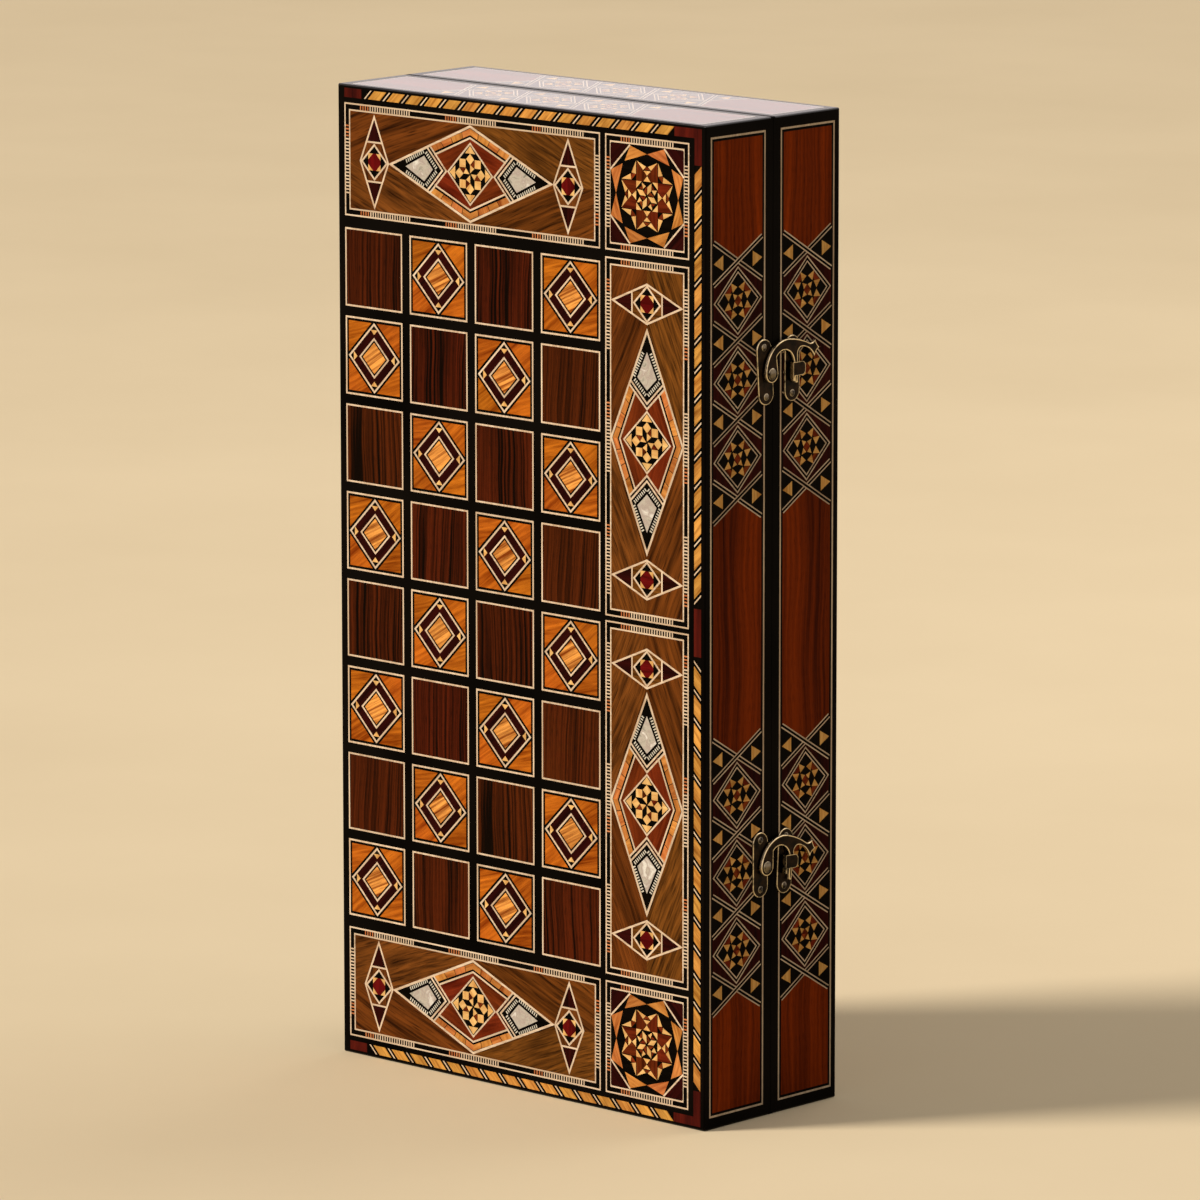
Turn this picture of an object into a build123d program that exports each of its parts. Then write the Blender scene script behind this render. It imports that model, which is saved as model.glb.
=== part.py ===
from build123d import *
import os
from math import acos, asin, atan2, cos, degrees, hypot, radians, sin, tan

# A folding backgammon case of two shallow wooden halves, faced with marquetry.
# It stands closed on one short end: X is its width, Y its depth, Z its length.
# The hinged side is at -X, the latched side at +X, the front half at -Y.
# The origin is the middle of the foot end. Lengths are in millimetres.

# Closed case
case_width = 250.0
case_depth = 98.0
case_height = 500.0
seam_gap = 0.3
edge_round = 0.8

# Joinery of one half
rail_thick = 12.0
sheet_thick = 2.0
base_thick = 5.0
base_rabbet = 6.0
field_thick = 1.2
joint_slack = 0.1

# Inlay let into the outer sheet and the rails
inlay_deep = 1.0
glue_line = 0.05

# Outer layout, measured from the hinged edge (u) and from the foot (z)
edge_strip = 2.5
end_strip = 1.8
rope_wide = 4.8
rope_gap = 2.6
block_long = 12.0
corner_long = 18.0
middle_block_long = 24.0
hinge_margin = 4.6
square_size = 40.0
square_gap_u = 5.2
square_gap_z = 5.0
squares_wide = 4
squares_high = 8
border_gap = 6.0
panel_gap = 3.4
long_panel_gap = 2.4

# Side and end panels, measured from the outer face of each half
panel_inset = 3.7
panel_wide = 39.8
panel_end_margin = 6.0

# Playing field
points_per_end = 6
point_long = 172.0
point_spacing = 2.4
point_deep = 0.6
rest_high = 14.0
rest_web = 3.0
rest_below_seam = 0.9
bay_wall = 3.1

# Playing pieces, stowed in the bays of the foot end, the checkers as wide as a bay lets in
checker_clearance = 0.3
checker_thick = 9.5
checker_edge = 0.8
checkers_per_side = 15
checkers_per_bay = 4
stow_gap = 0.1
die_size = 13.0
die_edge = 1.0
dice_bay = 4
dice_spacing = 1.0

# Butt hinges
hinge_heights = (95.0, 405.0)
hinge_long = 60.0
hinge_axis_out = 0.3
knuckle_radius = 2.2
knuckle_count = 5
knuckle_gap = 0.2
knuckle_room = 0.35
pin_radius = 1.1
pin_clearance = 0.05
pin_head_radius = 1.9
pin_head_high = 0.8
leaf_thick = 1.0
leaf_wide = 10.5
screws_per_leaf = 3
screw_head_radius = 2.0
screw_shank_radius = 0.9
screw_long = 10.0
screw_end_margin = 9.0

# Swing latches
plate_long = 33.0
plate_wide = 11.0
plate_thick = 0.8
plate_bevel = 0.25
nail_spacing = 24.8
nail_shank_radius = 0.7
nail_long = 8.0
nail_head_radius = 1.8
nail_head_high = 0.55
pivot_off_y = 2.7
pivot_off_z = -1.2
boss_radius = 3.4
boss_high = 0.7
hook_gap = 0.1
hook_thick = 1.4
hook_bevel = 0.2
rivet_radius = 1.5
rivet_clearance = 0.05
rivet_head_radius = 2.9
rivet_head_high = 1.1
rivet_foot_radius = 2.3
rivet_foot_thick = 0.5
catch_off_y = -3.1
catch_web_thick = 1.0
catch_high = 6.8
catch_heel = 2.4
lip_long = 9.0
lip_thick = 0.8
lip_round = 2.4
lip_clearance = 0.5

# Where each latch sits on the +X side: plate centre, its lean and the hook's turn
upper_plate_at = (-6.2, 374.7)
upper_plate_lean = 4.0
upper_hook_turn = 0.0
upper_strike_at = (13.7, 374.6)
upper_strike_lean = 0.0
lower_plate_at = (-8.7, 128.4)
lower_plate_lean = 0.0
lower_hook_turn = -9.0
lower_strike_at = (9.5, 127.8)
lower_strike_lean = -2.9

# Hook outline about its pivot, the arm rising to a crown and ending in a fishtail
eye_radius = 4.4
crown = (13.1, 16.2)
tail_waist = (27.2, 12.6)
tail_top = (31.6, 14.0)
tail_end = (34.9, 9.6)
tail_end_via = (32.9, 11.4)
tail_low = (31.2, 5.2)
tail_low_via = (32.3, 7.8)
notch_top = (21.9, 11.2)
notch_side = (18.7, 8.0)
beak_tip_out = (18.9, -6.3)
beak_tip_in = (17.2, -6.3)
beak_tip_round = 0.6
hollow_right = (16.1, 4.4)
hollow_left = (3.3, 8.2)

# Derived places
half_width = case_width / 2
outer_y = -case_depth / 2
seam_y = -seam_gap / 2
sheet_y = outer_y + sheet_thick
base_y = sheet_y + base_thick
field_y = base_y + field_thick
rest_top_y = seam_y - rest_below_seam
inner_half = half_width - rail_thick
point_pitch = 2 * inner_half / points_per_end
bay_radius = (point_pitch - bay_wall) / 2
checker_radius = bay_radius - checker_clearance
bay_center_z = rail_thick + rest_web + bay_radius
hinge_x = -half_width - hinge_axis_out
plate_top_x = half_width + plate_thick
hook_x = plate_top_x + boss_high + hook_gap
hook_top_x = hook_x + hook_thick
lip_x = hook_top_x + lip_clearance
rope_top_z = case_height - end_strip
rope_low_z = rope_top_z - rope_wide
band_top_z = rope_low_z - rope_gap
rope_right_u = case_width - edge_strip
rope_left_u = rope_right_u - rope_wide
squares_u = hinge_margin
pitch_u = square_size + square_gap_u
pitch_z = square_size + square_gap_z
squares_end_u = squares_u + squares_wide * pitch_u - square_gap_u
squares_top_z = case_height / 2 + (squares_high * pitch_z - square_gap_z) / 2
panel_low_z = squares_top_z + border_gap
column_u = squares_end_u + panel_gap
column_end_u = rope_left_u - panel_gap


def block(x0, x1, y0, y1, z0, z1):
    """A rectangular piece between two corners."""
    size = Box(x1 - x0, y1 - y0, z1 - z0)
    return Pos((x0 + x1) / 2, (y0 + y1) / 2, (z0 + z1) / 2) * size


def rod(radius, start, end):
    """A round rod between two points."""
    axis = Vector(*end) - Vector(*start)
    return extrude(Plane(start, z_dir=axis) * Circle(radius), axis.length)


def whole(pieces):
    """One group of separate solids."""
    return Compound(children=[solid for piece in pieces for solid in piece.solids()])


def upside_down(z0, z1):
    """The same stretch counted from the other end of the case."""
    return case_height - z1, case_height - z0


# Outer layout

def square_places(parity):
    """Corners of every second square of the half chessboard."""
    places = []
    for row in range(squares_high):
        for column in range(squares_wide):
            if (row + column) % 2 == parity:
                u = squares_u + column * pitch_u
                z = squares_top_z - row * pitch_z - square_size
                places.append((u, u + square_size, z, z + square_size))
    return places


def both_ends(u0, u1, z0, z1):
    """A place near the top and its twin near the foot."""
    return [(u0, u1, z0, z1), (u0, u1, *upside_down(z0, z1))]


def wide_panel_places():
    return both_ends(squares_u, squares_end_u, panel_low_z, band_top_z)


def corner_panel_places():
    return both_ends(column_u, column_end_u, panel_low_z, band_top_z)


def long_panel_places():
    low = case_height / 2 + long_panel_gap / 2
    return both_ends(column_u, column_end_u, low, panel_low_z - panel_gap)


def rope_places():
    """Rope banding: a top strip, a foot strip and two lengths up the latched side."""
    start = hinge_margin + block_long
    end = rope_right_u - corner_long
    low = case_height / 2 + middle_block_long / 2
    top = rope_top_z - corner_long
    return (both_ends(start, end, rope_low_z, rope_top_z)
            + both_ends(rope_left_u, rope_right_u, low, top))


def block_places():
    """Plain blocks that end the rope banding, corner pieces as two arms each."""
    corner_u = rope_right_u - corner_long
    low = case_height / 2 - middle_block_long / 2
    return (both_ends(hinge_margin, hinge_margin + block_long, rope_low_z, rope_top_z)
            + both_ends(corner_u, rope_right_u, rope_low_z, rope_top_z)
            + both_ends(rope_left_u, rope_right_u, rope_top_z - corner_long, rope_top_z)
            + [(rope_left_u, rope_right_u, low, low + middle_block_long)])


def outer_inlay(places, slack=glue_line):
    """Tiles let into the outer face, a glue line smaller than their pockets."""
    tiles = None
    for u0, u1, z0, z1 in places:
        tile = block(u0 + slack - half_width, u1 - slack - half_width,
                     outer_y, outer_y + inlay_deep, z0 + slack, z1 - slack)
        tiles = tile if tiles is None else tiles + tile
    return tiles


# Case of one half, built as the front one

def envelope():
    """Outside of one half, its outer edges rounded and its seam edges sharp."""
    body = block(-half_width, half_width, outer_y, seam_y, 0, case_height)
    edges = body.edges().filter_by_position(Axis.Y, outer_y - edge_round, seam_y - edge_round)
    return fillet(edges, edge_round)


def base_board(slack=0.0):
    """Board that closes the frame, lying in the rabbets of the rails."""
    reach = inner_half + base_rabbet - slack
    low = rail_thick - base_rabbet + slack
    return block(-reach, reach, sheet_y, base_y, low, case_height - low)


def mitred_rail(corners):
    """A rail from its outline seen from the front, rabbeted for the base board."""
    outline = make_face(Polyline([(x, sheet_y, z) for x, z in corners], close=True))
    rail = extrude(outline, seam_y - sheet_y, dir=(0, 1, 0))
    return (rail - base_board()) & envelope()


def side_rail(side):
    """The long rail on the hinged (-1) or the latched (+1) side."""
    out, inside = side * half_width, side * inner_half
    return mitred_rail([(out, 0), (inside, rail_thick),
                        (inside, case_height - rail_thick), (out, case_height)])


def end_rail(z_out, z_in):
    """The short rail at the foot or the top."""
    return mitred_rail([(-half_width, z_out), (-inner_half, z_in),
                        (inner_half, z_in), (half_width, z_out)])


def side_panel(slack=0.0):
    """Veneer panel let into the latched side."""
    low = panel_end_margin + slack
    near = outer_y + panel_inset + slack
    return block(half_width - inlay_deep, half_width, near,
                 near + panel_wide - 2 * slack, low, case_height - low)


def end_panels(slack=0.0):
    """Veneer panels let into the foot and the top."""
    reach = half_width - panel_end_margin - slack
    near = outer_y + panel_inset + slack
    far = near + panel_wide - 2 * slack
    foot = block(-reach, reach, near, far, 0, inlay_deep)
    top = block(-reach, reach, near, far, case_height - inlay_deep, case_height)
    return foot + top


def outer_sheet():
    """Dark facing sheet with a pocket for every tile, panel and band."""
    sheet = block(-half_width, half_width, outer_y, sheet_y, 0, case_height)
    places = (square_places(0) + square_places(1) + wide_panel_places()
              + corner_panel_places() + long_panel_places()
              + rope_places() + block_places())
    return (sheet & envelope()) - outer_inlay(places, 0.0)


# Playing field of one half

def point_wedges(parity, slack=0.0):
    """Every second long triangle of both ends, let into the field veneer."""
    wedges = []
    for i in range(points_per_end):
        center = -inner_half + (i + 0.5) * point_pitch
        reach = (point_pitch - point_spacing) / 2
        for end in (0, 1):
            if (i + end) % 2 != parity:
                continue
            half_angle = atan2(reach, point_long)
            foot = rail_thick + joint_slack + slack
            tip = foot - slack + point_long - slack / sin(half_angle)
            if end:
                foot, tip = case_height - foot, case_height - tip
            base = reach - slack / cos(half_angle) - slack * tan(half_angle)
            corners = [(center - base, field_y - point_deep, foot),
                       (center + base, field_y - point_deep, foot),
                       (center, field_y - point_deep, tip)]
            outline = make_face(Polyline(corners, close=True))
            wedges.append(extrude(outline, point_deep, dir=(0, 1, 0)))
    return wedges


def field_veneer():
    """Veneer of the playing field, pocketed for the points."""
    reach = inner_half - joint_slack
    low = rail_thick + joint_slack
    veneer = block(-reach, reach, base_y, field_y, low, case_height - low)
    for parity in (0, 1):
        for wedge in point_wedges(parity):
            veneer -= wedge
    return veneer


def checker_rest():
    """Scalloped rest along the foot end, one half-round bay for each point."""
    reach = inner_half - joint_slack
    low = rail_thick
    rest = block(-reach, reach, field_y, rest_top_y, low, low + rest_high)
    for i in range(points_per_end):
        center = -inner_half + (i + 0.5) * point_pitch
        rest -= rod(bay_radius, (center, field_y, bay_center_z),
                    (center, rest_top_y, bay_center_z))
    return rest


def top_rest():
    """The same rest at the other end."""
    return mirror(checker_rest(), about=Plane((0, 0, case_height / 2), z_dir=(0, 0, 1)))


# Playing pieces

def stowed_checkers():
    """Checkers lying side by side in the foot bays, four to a bay."""
    checkers = []
    center_z = bay_center_z - checker_clearance + stow_gap
    for n in range(checkers_per_side):
        bay, place = divmod(n, checkers_per_bay)
        x = -inner_half + (bay + 0.5) * point_pitch
        y = field_y + place * checker_thick
        disc = rod(checker_radius, (x, y, center_z), (x, y + checker_thick, center_z))
        checkers.append(chamfer(disc.edges().filter_by(GeomType.CIRCLE), checker_edge))
    return checkers


def stowed_dice():
    """Two dice lying in the next bay of the front half."""
    x = -inner_half + (dice_bay + 0.5) * point_pitch
    drop = (bay_radius ** 2 - (die_size / 2) ** 2) ** 0.5
    low = bay_center_z - drop + stow_gap
    dice = []
    for n in range(2):
        near = field_y + dice_spacing + n * (die_size + dice_spacing)
        die = block(x - die_size / 2, x + die_size / 2, near, near + die_size,
                    low, low + die_size)
        dice.append(chamfer(die.edges(), die_edge))
    return dice


# Butt hinges: a leaf in each seam face, knuckles about a pin outside the hinged edge

def knuckle_spans(height, owner):
    """Stretches of the barrel that belong to the front (0) or the back (1) leaf."""
    step = hinge_long / knuckle_count
    low = height - hinge_long / 2
    return [(low + i * step + knuckle_gap / 2, low + (i + 1) * step - knuckle_gap / 2)
            for i in range(knuckle_count) if i % 2 == owner]


def leaf_screws(height):
    """Countersunk screws of the front leaf, driven into the hinged rail."""
    screws = []
    span = hinge_long - 2 * screw_end_margin
    x = hinge_x + knuckle_radius + knuckle_room + leaf_wide / 2
    for i in range(screws_per_leaf):
        z = height - span / 2 + i * span / (screws_per_leaf - 1)
        profile = Polyline([(0, 0), (screw_head_radius, 0), (screw_shank_radius, -leaf_thick),
                            (screw_shank_radius, -screw_long), (0, -screw_long)], close=True)
        screw = revolve(Plane.XY * make_face(profile), Axis.Y)
        screws.append(Pos(x, seam_y, z) * screw)
    return screws


def hinge_leaf(height, owner):
    """One leaf as it lies in the front half, with its own knuckles."""
    start = hinge_x + knuckle_radius + knuckle_room
    low, high = height - hinge_long / 2, height + hinge_long / 2
    leaf = block(start, start + leaf_wide, seam_y - leaf_thick, seam_y, low, high)
    for z0, z1 in knuckle_spans(height, owner):
        leaf += block(hinge_x, start, seam_y - leaf_thick, seam_y, z0, z1)
        leaf += rod(knuckle_radius, (hinge_x, 0, z0), (hinge_x, 0, z1))
    leaf -= rod(pin_radius + pin_clearance, (hinge_x, 0, low), (hinge_x, 0, high))
    for screw in leaf_screws(height):
        leaf -= screw
    return leaf


def hinge_pin(height):
    """Pin with a round head at each end of the barrel."""
    low = height - hinge_long / 2
    high = height + hinge_long / 2
    pin = rod(pin_radius, (hinge_x, 0, low), (hinge_x, 0, high))
    pin += rod(pin_head_radius, (hinge_x, 0, high), (hinge_x, 0, high + pin_head_high))
    pin += rod(pin_head_radius, (hinge_x, 0, low - pin_head_high), (hinge_x, 0, low))
    return pin


def hinge_recess(height):
    """Room cut in the front hinged rail for the leaf and the barrel."""
    low, high = height - hinge_long / 2, height + hinge_long / 2
    end = hinge_x + knuckle_radius + knuckle_room + leaf_wide
    room = knuckle_radius + knuckle_room
    recess = block(hinge_x, end, seam_y - leaf_thick, seam_y, low, high)
    head = pin_head_high + knuckle_room
    return recess + rod(room, (hinge_x, 0, low - head), (hinge_x, 0, high + head))


# Swing latches on the latched side, drawn flat in the Y-Z plane about a point

def on_side(shape, at, lean=0.0):
    """Set a latch piece on the latched side at a place, leaning by an angle."""
    return Pos(0, at[0], at[1]) * Rot(lean, 0, 0) * shape


def face_plane(x):
    """Plane parallel to the latched side, its own X and Y along Y and Z."""
    return Plane((x, 0, 0), x_dir=(0, 1, 0), z_dir=(1, 0, 0))


def turned(point, angle):
    """A point turned about the origin."""
    c, s = cos(radians(angle)), sin(radians(angle))
    return point[0] * c - point[1] * s, point[0] * s + point[1] * c


def dome(radius, high, x):
    """Head shaped as the cap of a ball, its flat back at x."""
    ball = (radius ** 2 + high ** 2) / (2 * high)
    cap = Sphere(ball, arc_size1=degrees(asin(1 - high / ball)), arc_size2=90, align=None)
    return Pos(x + high - ball, 0, 0) * Rot(0, 90, 0) * cap


def nails():
    """Two domed nails on the long axis of a plate."""
    head = dome(nail_head_radius, nail_head_high, plate_top_x)
    nail = head + rod(nail_shank_radius, (plate_top_x - nail_long, 0, 0), (plate_top_x, 0, 0))
    return [Pos(0, 0, end * nail_spacing / 2) * nail for end in (-1, 1)]


def latch_plate():
    """Round-ended plate with worn bevelled edges."""
    outline = SlotOverall(plate_long, plate_wide, rotation=90)
    plate = extrude(face_plane(half_width) * outline, plate_thick)
    return chamfer(plate.faces().sort_by(Axis.X)[-1].edges(), plate_bevel)


def rivet():
    """Pivot rivet with a domed head, peened into the back of the hook plate."""
    foot_x = half_width - rivet_foot_thick
    head_x = hook_top_x + hook_gap
    shank = rod(rivet_radius, (foot_x, 0, 0), (head_x, 0, 0))
    foot = rod(rivet_foot_radius, (foot_x, 0, 0), (half_width, 0, 0))
    return shank + foot + dome(rivet_head_radius, rivet_head_high, head_x)


def hook_plate():
    """Plate of the hook with the raised boss that the hook turns on."""
    boss_at = (pivot_off_y, pivot_off_z)
    boss = extrude(face_plane(plate_top_x) * (Pos(*boss_at) * Circle(boss_radius)), boss_high)
    return latch_plate() + boss


def strike_plate():
    """Plate with the bent catch: a web standing out and a lip over the hook's beak."""
    web_y = catch_off_y
    web = block(plate_top_x - plate_bevel, lip_x + lip_thick, web_y, web_y + catch_web_thick,
                -catch_high / 2 - catch_heel, catch_high / 2)
    lip = block(lip_x, lip_x + lip_thick, web_y, web_y + lip_long,
                -catch_high / 2, catch_high / 2)
    corners = lip.edges().filter_by(Axis.X).group_by(Axis.Y)[-1]
    return latch_plate() + web + fillet(corners, lip_round)


def hook_outline():
    """Crescent hook with an eye, a beak for the catch and a fishtail thumb piece."""
    leave = atan2(hollow_left[1], hollow_left[0]) - acos(eye_radius / hypot(*hollow_left))
    eye_leave = turned((eye_radius, 0), degrees(leave))
    back = TangentArc((-eye_radius, 0), crown, tangent=(0, 1))
    tail = TangentArc(crown, tail_waist, tangent=back % 1)
    flick = TangentArc(tail_waist, tail_top, tangent=tail % 1)
    beak_out = Line(beak_tip_out, notch_side)
    notch = TangentArc(notch_side, notch_top, tangent=beak_out % 1)
    under_tail = TangentArc(notch_top, tail_low, tangent=notch % 1)
    beak_in = Line(beak_tip_in, hollow_right)
    hollow = TangentArc(hollow_right, hollow_left, tangent=beak_in % 1)
    outline = make_face([
        back, tail, flick,
        ThreePointArc(tail_top, tail_end_via, tail_end),
        ThreePointArc(tail_end, tail_low_via, tail_low),
        under_tail, notch, beak_out,
        Line(beak_tip_out, beak_tip_in),
        beak_in, hollow,
        Line(hollow_left, eye_leave),
        ThreePointArc(eye_leave, (0, -eye_radius), (-eye_radius, 0)),
    ])
    tip = outline.vertices().sort_by(Axis.Y)[:2]
    return fillet(tip, beak_tip_round)


def hook(turn):
    """Hook on its pivot, its outer edge bevelled, bored to turn on the rivet."""
    body = extrude(face_plane(hook_x) * hook_outline(), hook_thick)
    body = chamfer(body.faces().sort_by(Axis.X)[-1].edges(), hook_bevel)
    bore = rod(rivet_radius + rivet_clearance, (hook_x, 0, 0), (hook_top_x, 0, 0))
    return Rot(turn, 0, 0) * (body - bore)


def latch(plate_at, plate_lean, hook_turn, strike_at, strike_lean):
    """All the pieces of one latch, in place."""
    off = turned((pivot_off_y, pivot_off_z), plate_lean)
    pivot = plate_at[0] + off[0], plate_at[1] + off[1]
    plate_nails = [on_side(nail, plate_at, plate_lean) for nail in nails()]
    strike_nails = [on_side(nail, strike_at, strike_lean) for nail in nails()]
    pin = on_side(rivet(), pivot)
    plate = on_side(hook_plate(), plate_at, plate_lean) - pin
    strike = on_side(strike_plate(), strike_at, strike_lean)
    for nail in plate_nails:
        plate -= nail
    for nail in strike_nails:
        strike -= nail
    return {"pivot": pivot, "hook_plate": plate, "rivet": pin,
            "hook": on_side(hook(hook_turn), pivot),
            "strike_plate": strike, "plate_nails": plate_nails, "strike_nails": strike_nails}


# Whole part

def to_back(shape):
    """The same piece of the back half, mirrored across the seam."""
    return mirror(shape, about=Plane.XZ)


def half_pieces(first_dark):
    """The pieces that both halves have, built in the front half's place."""
    return {
        "hinge_rail": side_rail(-1),
        "latch_rail": side_rail(1),
        "top_rail": end_rail(case_height, case_height - rail_thick),
        "foot_rail": end_rail(0, rail_thick),
        "base_board": base_board(joint_slack),
        "outer_sheet": outer_sheet(),
        "dark_squares": outer_inlay(square_places(first_dark)),
        "light_squares": outer_inlay(square_places(1 - first_dark)),
        "wide_panels": outer_inlay(wide_panel_places()),
        "corner_panels": outer_inlay(corner_panel_places()),
        "long_panels": outer_inlay(long_panel_places()),
        "rope_banding": outer_inlay(rope_places()),
        "banding_blocks": outer_inlay(block_places()),
        "latch_side_panel": side_panel(glue_line),
        "end_panels": end_panels(glue_line),
        "field_veneer": field_veneer(),
        "dark_points": whole(point_wedges(first_dark, glue_line)),
        "light_points": whole(point_wedges(1 - first_dark, glue_line)),
        "checker_rests": checker_rest() + top_rest(),
    }


def build():
    """Every node of the part by name."""
    upper = latch(upper_plate_at, upper_plate_lean, upper_hook_turn,
                  upper_strike_at, upper_strike_lean)
    lower = latch(lower_plate_at, lower_plate_lean, lower_hook_turn,
                  lower_strike_at, lower_strike_lean)
    front, back = half_pieces(0), half_pieces(1)
    back = {name: to_back(piece) for name, piece in back.items()}

    # Pockets for the panels, then room for each fastener in what it is driven through
    front_nails = upper["plate_nails"] + lower["plate_nails"]
    back_nails = upper["strike_nails"] + lower["strike_nails"]
    for half, driven, turn in ((front, front_nails + [upper["rivet"], lower["rivet"]], None),
                               (back, back_nails, to_back)):
        panel, ends = side_panel(), end_panels()
        recesses = [hinge_recess(height) for height in hinge_heights]
        screws = [screw for height in hinge_heights for screw in leaf_screws(height)]
        if turn:
            panel, ends = turn(panel), turn(ends)
            recesses = [turn(recess) for recess in recesses]
            screws = [turn(screw) for screw in screws]
        half["latch_rail"] -= panel
        half["foot_rail"] -= ends
        half["top_rail"] -= ends
        for fastener in driven:
            half["latch_rail"] -= fastener
            half["latch_side_panel"] -= fastener
        for cut in recesses + screws:
            half["hinge_rail"] -= cut
        half["hinge_screws"] = whole(screws)

    nodes = {f"front_{name}": piece for name, piece in front.items()}
    nodes |= {f"back_{name}": piece for name, piece in back.items()}
    nodes["front_hinge_leaves"] = whole([hinge_leaf(height, 0) for height in hinge_heights])
    nodes["back_hinge_leaves"] = whole([to_back(hinge_leaf(height, 1))
                                        for height in hinge_heights])
    nodes["hinge_pins"] = whole([hinge_pin(height) for height in hinge_heights])
    for name, pieces in (("upper", upper), ("lower", lower)):
        nodes[f"{name}_hook_plate"] = pieces["hook_plate"]
        nodes[f"{name}_hook"] = pieces["hook"]
        nodes[f"{name}_rivet"] = pieces["rivet"]
        nodes[f"{name}_strike_plate"] = pieces["strike_plate"]
        print(f"{name} hook turns about y={pieces['pivot'][0]:.3f} z={pieces['pivot'][1]:.3f}")
    nodes["hook_plate_nails"] = whole(front_nails)
    nodes["strike_plate_nails"] = whole(back_nails)
    nodes["light_checkers"] = whole(stowed_checkers())
    nodes["dark_checkers"] = whole([to_back(checker) for checker in stowed_checkers()])
    nodes["dice"] = whole(stowed_dice())
    return nodes


os.makedirs("parts", exist_ok=True)
for node, shape in build().items():
    export_step(shape, f"parts/{node}.step")
    print(node, len(shape.solids()), "solids")
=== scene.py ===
# %% [markdown]
# # A folding backgammon case in marquetry
# The real case is two shallow trays of walnut and ebonised wood, hinged along one long side and
# held shut by two swing latches. Its outside is inlaid with hundreds of small tesserae, in the
# traditional geometric way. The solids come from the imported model, which is loaded first and
# never moved: each Blender piece is built in the same place, in metres.

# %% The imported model
import bmesh
import bpy
import random
from math import cos, pi, radians, sin
from mathutils import Matrix, Vector
from mathutils.geometry import delaunay_2d_cdt


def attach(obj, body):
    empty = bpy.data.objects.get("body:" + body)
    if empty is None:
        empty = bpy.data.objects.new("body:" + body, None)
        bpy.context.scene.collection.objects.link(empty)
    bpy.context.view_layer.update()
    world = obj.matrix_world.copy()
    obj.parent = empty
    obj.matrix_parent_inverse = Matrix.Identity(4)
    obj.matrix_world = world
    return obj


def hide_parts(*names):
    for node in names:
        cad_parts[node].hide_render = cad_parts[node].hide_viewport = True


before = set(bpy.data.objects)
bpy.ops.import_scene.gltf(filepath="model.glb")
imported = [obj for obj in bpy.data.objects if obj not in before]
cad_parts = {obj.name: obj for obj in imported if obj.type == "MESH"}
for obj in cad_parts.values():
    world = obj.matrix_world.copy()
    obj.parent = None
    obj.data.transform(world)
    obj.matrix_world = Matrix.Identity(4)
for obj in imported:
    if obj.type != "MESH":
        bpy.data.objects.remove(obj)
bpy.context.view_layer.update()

# %% [markdown]
# The inlay is drawn in millimetres on flat faces, so the case's own sizes are written down once,
# in millimetres, and one factor takes them to metres. U runs across a face from the hinge side.

# %% Sizes of the case
MM = 0.001
CASE_WIDE, CASE_DEEP, CASE_HIGH = 250.0, 98.0, 500.0
INLAY_DEEP, INLAY_SUNK = 0.95, 0.03
SQUARE = 40.0
SQUARE_PITCH_U, SQUARE_PITCH_Z = 45.2, 45.0
SQUARES_U, SQUARES_TOP = 4.6, 427.5
COLUMN_U, COLUMN_WIDE = 183.6, 55.7
PANEL_Z, PANEL_HIGH = 433.5, 57.3
WIDE_PANEL = 175.6
LONG_PANEL_Z, LONG_PANEL_HIGH = 251.2, 178.9
SIDE_INSET, SIDE_WIDE = 3.7, 39.8
OUTWARD = {"front": -1, "back": 1}
AS_IS = Matrix.Identity(4)
print("case", CASE_WIDE, CASE_DEEP, CASE_HIGH)

# %% [markdown]
# A few small steps come back all through the script, so each has a name. A new object is linked
# at the origin. A mesh is made with its finishes. A camera or a lamp stands out from the case
# along a way that two angles give, and looks back along it.

# %% Small helpers
def placed(name, data):
    """A new object at the origin of the scene."""
    made = bpy.data.objects.new(name, data)
    bpy.context.scene.collection.objects.link(made)
    return made


def new_mesh(name, vertices=(), edges=(), faces=(), finishes=()):
    mesh = bpy.data.meshes.new(name)
    mesh.from_pydata(vertices, edges, faces)
    for finish in finishes:
        mesh.materials.append(finish)
    return mesh


def mesh_of(work, name, finishes=()):
    """The mesh of a bmesh, which is then let go."""
    mesh = new_mesh(name, finishes=finishes)
    work.to_mesh(mesh)
    work.free()
    return mesh


def way_out(azimuth, elevation):
    """The way out from the case, by radians round from its front and up from the floor."""
    return Vector((sin(azimuth) * cos(elevation), -cos(azimuth) * cos(elevation), sin(elevation)))


def looking_back(way):
    return (-way).to_track_quat("-Z", "Y")


print("small helpers")

# %% [markdown]
# The camera stands where the photograph was taken from: right of the front, a little above. Its
# angles, distance and focal length were fitted to the corners of the case. A long lens far away
# gives the nearly parallel edges of the photograph.

# %% Camera
CAMERA_AZIMUTH = 0.7501
CAMERA_ELEVATION = 0.18426
CAMERA_ROLL = -0.0008
CAMERA_AWAY = 4.2314
CAMERA_RIGHT, CAMERA_UP = 0.00683, -0.00526
FOCAL_PIXELS = 8420.4
PHOTO_PIXELS = 1200
SENSOR = 36.0
CASE_MIDDLE = Vector((0.0, 0.0, CASE_HIGH * MM / 2))

back = way_out(CAMERA_AZIMUTH, CAMERA_ELEVATION)
turn = looking_back(back)
lens = bpy.data.cameras.new("photo_camera")
lens.sensor_width = SENSOR
lens.lens = SENSOR * FOCAL_PIXELS / PHOTO_PIXELS
lens.clip_start = 0.1
lens.clip_end = 60.0
camera = placed("photo_camera", lens)
eye = CASE_MIDDLE + back * CAMERA_AWAY + turn @ Vector((CAMERA_RIGHT, CAMERA_UP, 0.0))
roll = Matrix.Rotation(CAMERA_ROLL, 4, "Z")
camera.matrix_world = Matrix.Translation(eye) @ turn.to_matrix().to_4x4() @ roll
bpy.context.scene.camera = camera
print("lens", round(lens.lens, 1), "mm")

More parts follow.
